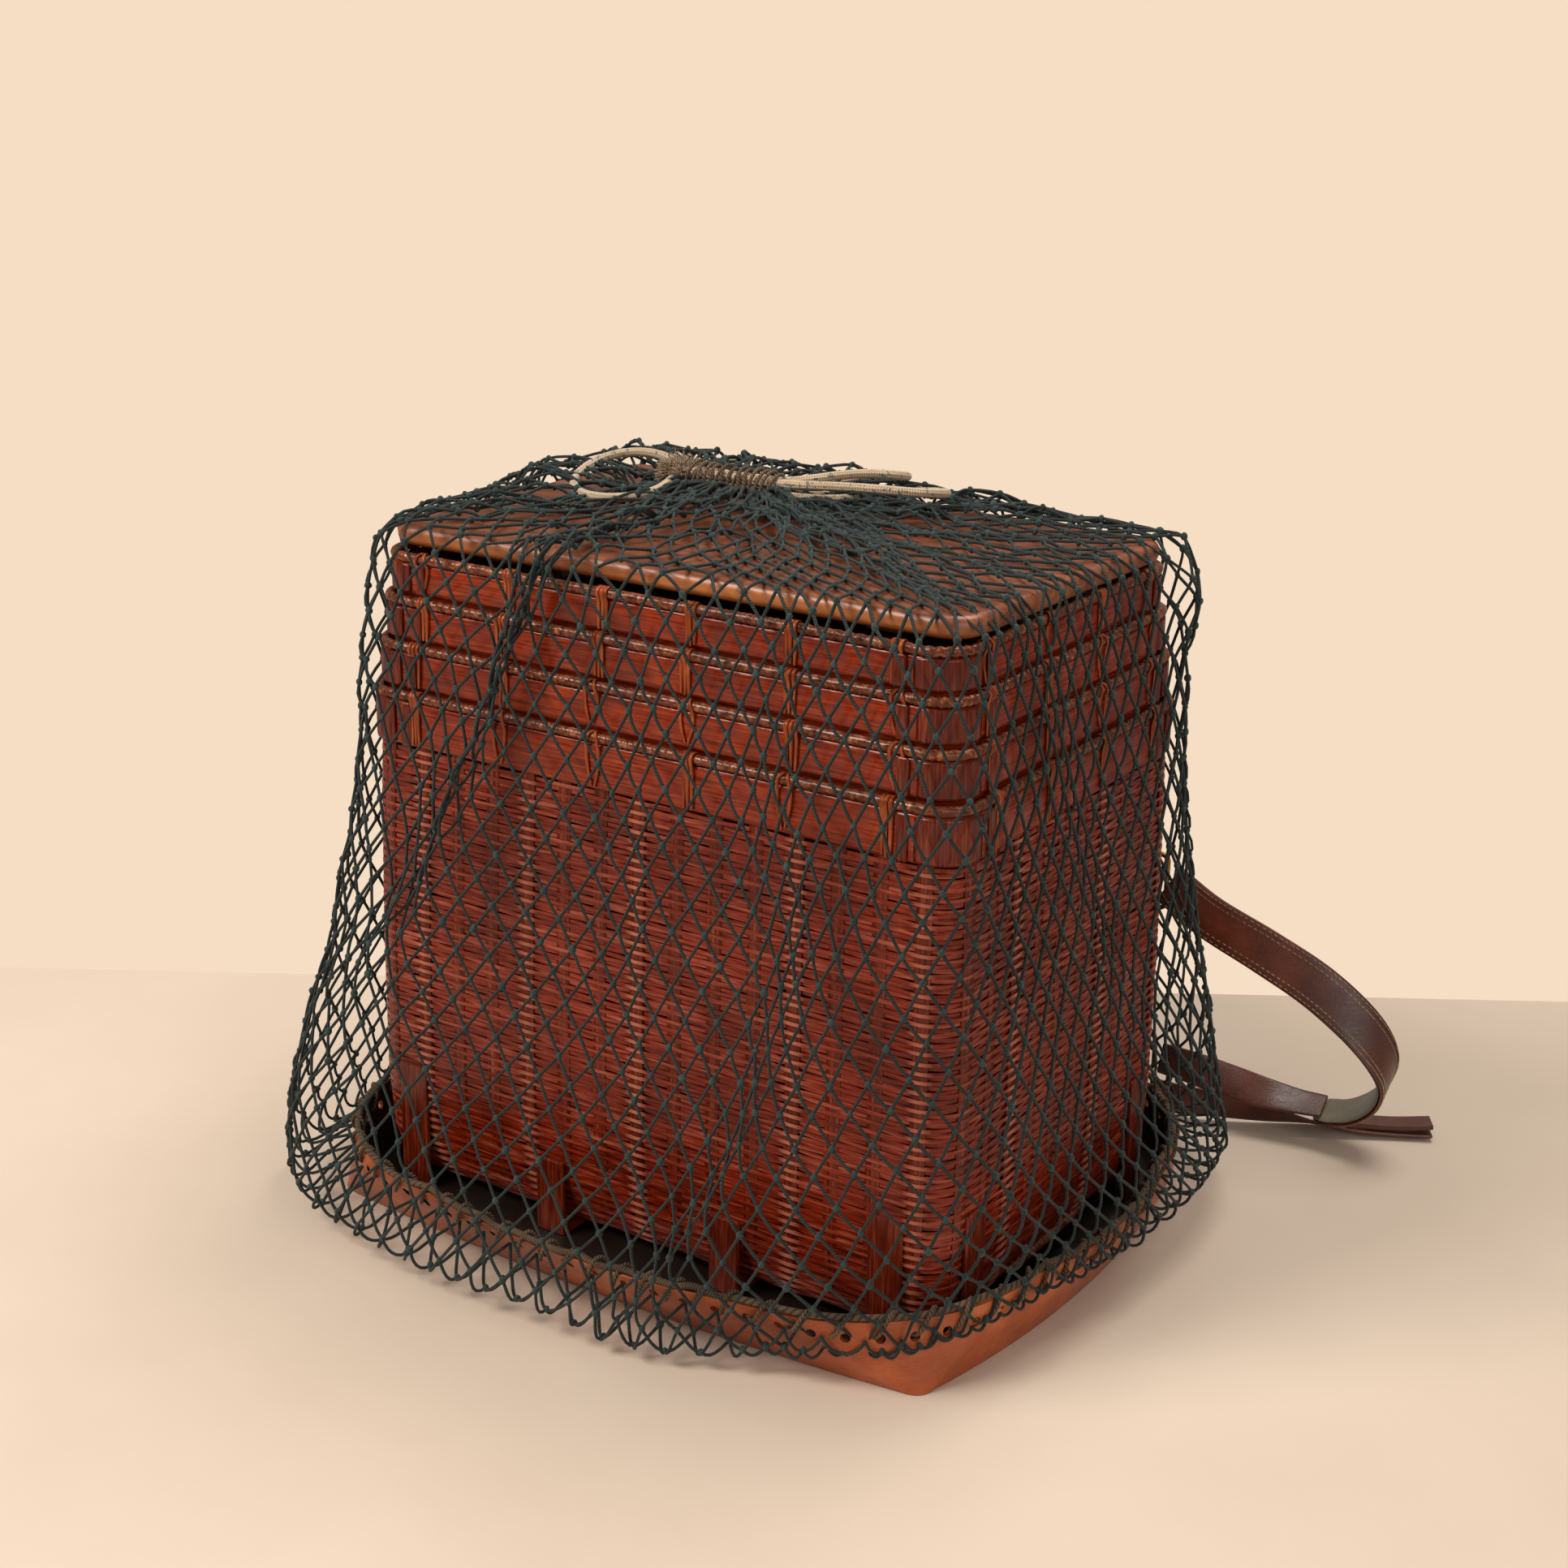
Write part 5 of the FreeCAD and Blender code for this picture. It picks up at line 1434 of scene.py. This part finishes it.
loop_route = [(-93, 45, 386.3), (-103, 52, 388.6), (-116.5, 56, 390.4), (-130, 53, 390.6),
              (-139, 42, 389), (-141, 27, 386.3), (-139, 11.5, 383), (-131, -3, 380.6),
              (-118, -13.5, 379), (-103, -16.5, 378.8), (-90.5, -8, 379), (-85.5, 6, 379.8),
              (-86.5, 22, 381.3), (-90.5, 36, 383.8)]
near_route = [(-86, 38.35, 386.85), (-68, 38.2, 387.15), (-46, 38.1, 387.15), (-25, 38.6, 387.2),
              (-7, 40.5, 388.2), (11, 44, 389.2), (28, 49, 389.4), (44, 56, 388.6),
              (54, 68, 387), (55, 82, 384.8), (46, 94, 382.4), (31, 98, 380.4),
              (17, 91, 379), (9, 78.5, 378.6), (5, 65, 378.8), (-0.5, 52, 379.6),
              (-9.5, 41, 380.8), (-25, 38.4, 381.5), (-46, 38.4, 381.65), (-66, 38.3, 381.75),
              (-86, 38.45, 381.85)]
far_route = [(-86, 43.65, 386.85), (-68, 43.8, 387.15), (-46, 43.8, 387.2), (-25, 43.9, 387.3),
             (-11, 50, 389.4), (0, 61, 391.4), (10, 73, 391.8), (21, 86, 390), (20, 101, 386.8),
             (9.5, 112, 384), (-5.5, 113, 382), (-17.5, 104.5, 380.6), (-21, 91, 379.6),
             (-14.5, 79, 379.2), (-7, 66.5, 379.2), (-9.2, 53, 380.1), (-19.4, 44.1, 381.2),
             (-36, 43.8, 381.6), (-53, 43.8, 381.65), (-70, 43.7, 381.75), (-86, 43.55, 381.85)]
cord_diameter = 5 * mm
fray_count = 420
mouth_loop_count = 15
loop_points = 22


def make_drawstring():
    routes = (("drawstring_loop", loop_route, 0.1925), ("drawstring_near_bight", near_route, 0.3397),
              ("drawstring_far_bight", far_route, 0.3164))
    for node, route, length in routes:
        curve = bpy.data.curves.new(node + "_cord", "CURVE")
        curve.dimensions = "3D"
        curve.bevel_depth = cord_diameter / 2
        curve.bevel_resolution = 4
        curve.resolution_u = 14
        curve.use_fill_caps = True
        spline = curve.splines.new("NURBS")
        spline.points.add(len(route) - 1)
        for point, place in zip(spline.points, route):
            point.co = (place[0] * mm, place[1] * mm, place[2] * mm, 1)
        spline.order_u = 3
        spline.use_endpoint_u = True
        cord = bpy.data.objects.new(node + "_cord", curve)
        bpy.context.scene.collection.objects.link(cord)
        curve.materials.append(finishes["drawstring"])
        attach(cord, "lid")
        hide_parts(node)


def make_cord_knot():
    low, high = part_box("drawstring_knot")
    centre = (low + high) / 2
    shape = bmesh.new()
    bmesh.ops.create_icosphere(shape, subdivisions=3, radius=1.0)
    for vert in shape.verts:
        d = vert.co.normalized()
        lump = 1 + 0.16 * math.sin(5 * d.x + 3 * d.z) + 0.12 * math.sin(7 * d.y - 4 * d.x + 1)
        vert.co = Vector((d.x * 8.2, d.y * 8.2, d.z * 6.6)) * lump * mm + centre
    dress(piece_from("cord_knot", shape), "lid", "frayed_yarn", ("drawstring_knot",))
    chance = random.Random(8)
    hairs = []
    for _ in range(fray_count):
        way = Vector((chance.uniform(-1, 1), chance.uniform(-1, 1), chance.uniform(-0.25, 1))).normalized()
        start = centre + Vector((way.x * 7, way.y * 7, way.z * 5.5)) * mm
        bend = Vector((chance.uniform(-1, 1), chance.uniform(-1, 1), chance.uniform(-1.2, 0.4))) * 2.4 * mm
        reach = chance.uniform(3, 9) * mm
        hairs.append([start, start + way * reach * 0.5 + bend * 0.3, start + way * reach + bend])
    tufts = tube_mesh("cord_knot_frays", hairs, 0.28 * mm, 0)
    dress(tufts, "lid", "frayed_yarn")


def make_mouth_loops():
    low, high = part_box("net_mouth_loops")
    chance = random.Random(2)
    lines = []
    for number in range(mouth_loop_count):
        x = low.x + (high.x - low.x) * (number + 0.5) / mouth_loop_count
        radius = chance.uniform(7.2, 9.0) * mm
        lean = chance.uniform(-0.35, 0.35)
        centre_z = (low.z + high.z) / 2 - chance.uniform(0, 0.8) * mm
        ring = []
        for step in range(loop_points):
            turn = math.tau * step / loop_points
            ring.append((x + lean * radius * math.sin(turn), (low.y + high.y) / 2 + radius * math.cos(turn),
                         centre_z + radius * math.sin(turn)))
        lines.append(ring)
    loops = tube_mesh("mouth_loops", lines, 1.0 * mm, 2, True)
    dress(loops, "lid", "lacing", ("net_mouth_loops",))


# Straps

ring_x, ring_y = 130.58, 204.98
ring_reach = 12.0 + 1.5 + 0.2
strap_reach, strap_depth, strap_drop = 134.0, 28.0, 128.0
strap_rows = (((0.00, 0.00, 0.00), (0.00, 0.00, 1.00)), ((0.19, 0.04, 0.12), (0.10, 0.12, 0.98)),
              ((0.45, 0.10, 0.23), (0.22, 0.28, 0.93)), ((0.69, 0.20, 0.35), (0.24, 0.44, 0.86)),
              ((0.88, 0.34, 0.50), (0.20, 0.62, 0.75)), ((0.98, 0.50, 0.64), (0.10, 0.80, 0.58)),
              ((1.00, 0.64, 0.76), (-0.02, 0.92, 0.38)), ((0.95, 0.74, 0.88), (-0.18, 0.96, 0.18)),
              ((0.84, 0.76, 0.97), (-0.34, 0.93, 0.08)), ((0.69, 0.68, 1.00), (-0.38, 0.90, 0.16)))
lower_rows = (((0.74, 0.68, 0.985), (-0.36, 0.90, 0.24)), ((0.62, 0.60, 0.985), (-0.34, 0.86, 0.36)),
              ((0.48, 0.46, 0.965), (-0.22, 0.74, 0.62)), ((0.32, 0.28, 0.925), (-0.10, 0.46, 0.88)),
              ((0.16, 0.10, 0.88), (0.00, 0.16, 0.98)), ((0.02, 0.01, 0.859), (0.00, 0.00, 1.00)))
billet_reach, billet_spread, billet_width = 150.0, 62.0, 17.0
upper_ring_height, billet_ring_height = 146.0, 12.2
padded_width, lining_width, plain_width = 27 * mm, 26 * mm, 20 * mm
stitch_offsets = (-11.6 * mm, -8.6 * mm, 8.6 * mm, 11.6 * mm)
stitch_height = 2.55 * mm
stitches_each_row = 84
billet_rows = (((0.00, 0.00, 0.00), (0.00, 0.00, 1.00)), ((0.12, 0.02, -0.02), (0.00, 0.05, 1.00)),
               ((0.26, 0.12, -0.06), (0.05, -0.12, 0.98)), ((0.42, 0.28, -0.20), (0.20, -0.45, 0.86)),
               ((0.58, 0.46, -0.40), (0.38, -0.80, 0.46)), ((0.74, 0.65, -0.50), (0.48, -0.87, 0.12)),
               ((0.88, 0.84, -0.54), (0.52, -0.86, 0.02)), ((1.00, 1.00, -0.53), (0.52, -0.86, 0.00)))


def strap_track(rows, height, scale):
    """A smooth track through a strap's rows: a function from 0 to 1 to place, along, across, normal."""
    start = np.array((ring_x + ring_reach, ring_y, height))
    spots = np.array([start + np.array(share) * scale for share, _ in rows]) * mm
    across = np.array([width for _, width in rows], float)

    def spline(values, t):
        padded = np.vstack((2 * values[0] - values[1], values, 2 * values[-1] - values[-2]))
        span = np.clip((t * (len(values) - 1)).astype(int), 0, len(values) - 2)
        s = (t * (len(values) - 1) - span)[:, None]
        p0, p1, p2, p3 = (padded[span + k] for k in range(4))
        return 0.5 * (2 * p1 + (p2 - p0) * s + (2 * p0 - 5 * p1 + 4 * p2 - p3) * s ** 2
                      + (3 * p1 - p0 - 3 * p2 + p3) * s ** 3)

    def track(t):
        t = np.clip(t, 0, 1)
        place = spline(spots, t)
        ahead = spline(spots, np.clip(t + 0.004, 0, 1))
        behind = spline(spots, np.clip(t - 0.004, 0, 1))
        along = ahead - behind
        along /= np.linalg.norm(along, axis=1)[:, None]
        side = spline(across, t)
        side = side - along * np.sum(along * side, axis=1)[:, None]
        side /= np.linalg.norm(side, axis=1)[:, None]
        return place, along, side, np.cross(along, side)

    return track


def strap_piece(name, track, width, low, high, body, finish, replaced, steps=150, crown=0.0,
                rounded=(False, False), ridges=0):
    """A strap: a flat rounded section carried along its track, with its ends cut square or round."""
    def place(u, v, k):
        spot, along, side, normal = track(u)
        turn = math.tau * v
        c, s = np.cos(turn), np.sin(turn)
        across = np.sign(s) * np.abs(s) ** 0.45 * width / 2
        lift = np.sign(c) * np.abs(c) ** 0.6 * (high - low) / 2
        end = np.ones_like(u)
        if rounded[1]:
            end = np.minimum(end, np.sqrt(np.clip(1 - np.clip((u - 0.94) / 0.06, 0, 1) ** 2, 0, 1)))
        across = across * (end * 0.98 + 0.02)
        bulge = crown * (1 - (2 * across / width) ** 2) * (c > 0)
        groove = 0.3 * mm * np.sin(ridges * math.pi * (across / width + 0.5)) ** 2 if ridges else 0.0
        shut = np.where((u < 0.001) | (u > 0.999), 0.0, 1.0)
        height = (low + high) / 2 + (lift + bulge - groove * np.abs(c)) * (0.15 + 0.85 * shut)
        return spot + side * (across * (0.9 + 0.1 * shut))[:, None] + normal * height[:, None]

    piece = laid_grids(name, 1, steps, 24, place)
    with reshaped(piece.data) as shape:
        bmesh.ops.holes_fill(shape, edges=[e for e in shape.edges if e.is_boundary])
        bmesh.ops.recalc_face_normals(shape, faces=shape.faces)
    dress(piece, body, finish, replaced)


def stitch_rows(name, track, offsets, height, first, last, count, body):
    """Rows of thread stitches on a strap's outer face."""
    t = np.linspace(first, last, count)
    spot, along, side, normal = track(t)
    size = np.array((1.5, 0.42, 0.34)) * mm
    unit = bmesh.new()
    bmesh.ops.create_uvsphere(unit, u_segments=6, v_segments=4, radius=1.0)

    def place(local, k):
        at = k % count
        offset = np.array(offsets)[k // count][:, None]
        local = local * size
        return spot[at] + side[at] * (offset + local[:, 1:2]) + normal[at] * (height + local[:, 2:3]) \
            + along[at] * local[:, 0:1]

    piece = laid_copies(name, unit, count * len(offsets), place)
    dress(piece, body, "frayed_yarn")


def make_straps():
    scale = np.array((strap_reach, strap_depth, -strap_drop))
    main = strap_track(strap_rows, upper_ring_height, scale)
    strap_piece("padded_strap", main, padded_width, 0.1 * mm, 2.3 * mm, "shoulder_strap",
                "strap_leather", ("shoulder_strap",), crown=0.5 * mm, rounded=(False, True))
    strap_piece("ridged_lining", main, lining_width, -1.4 * mm, 0.0, "shoulder_strap",
                "strap_lining", ("strap_lining",), rounded=(False, True), ridges=5)
    stitch_rows("strap_stitches", main, stitch_offsets, stitch_height, 0.03, 0.93, stitches_each_row,
                "shoulder_strap")
    lower = strap_track(lower_rows, upper_ring_height, scale)
    strap_piece("plain_strap", lower, plain_width, -3.8 * mm, -1.6 * mm, "shoulder_strap",
                "strap_leather", ("lower_strap",))
    billet_scale = np.array((billet_reach, billet_spread, billet_width))
    billet = strap_track(billet_rows, billet_ring_height, billet_scale)
    strap_piece("billet", billet, billet_width * mm, -1.3 * mm, 1.3 * mm, "billet",
                "strap_leather", ("billet_strap",))


table_half = 3.0
table_edge = 0.275
table_back = Vector((-0.5332, 0.8460, 0))


def make_floor():
    """A pale table whose far edge stands behind the creel, before a pale background."""
    shape = bmesh.new()
    bmesh.ops.create_grid(shape, x_segments=1, y_segments=1, size=table_half)
    turn = Matrix.Rotation(math.atan2(table_back.y, table_back.x) - math.pi / 2, 4, "Z")
    bmesh.ops.transform(shape, matrix=Matrix.Translation(table_back * (table_edge - table_half)) @ turn,
                        verts=shape.verts)
    table = piece_from("table", shape)
    table.data.materials.append(finishes["pale_table"])


def dress_cad_nodes():
    """The solids whose shape is right get their finish."""
    # The floors inside take the lining's dark finish, whose colour is painted shade.
    other = {"basket_floor": "woven_lining", "lower_tray_floor": "woven_lining",
             "middle_tray_floor": "woven_lining", "upper_tray_floor": "woven_lining",
             "lid_hinge_loops": "cane_ties"}
    for node, piece in nodes.items():
        finish = other.get(node, slot_of[node])
        if finish in finishes:
            piece.data.materials.clear()
            piece.data.materials.append(finishes[finish])


place_camera()
light_scene()
make_finishes()
dress_cad_nodes()
make_floor()
make_drawstring()
make_cord_knot()
make_mouth_loops()
make_net()
make_wefts()
make_warps()
for number, tier in enumerate(tiers):
    make_band(tier, 20 + number)
    make_corner_covers(tier, 30 + number)
    make_bead(tier, (330, 300, 345, 315)[number], 40 + number)
    make_ties(tier, 50 + number)
make_slats()
make_leather_base()
make_lacing()
make_straps()
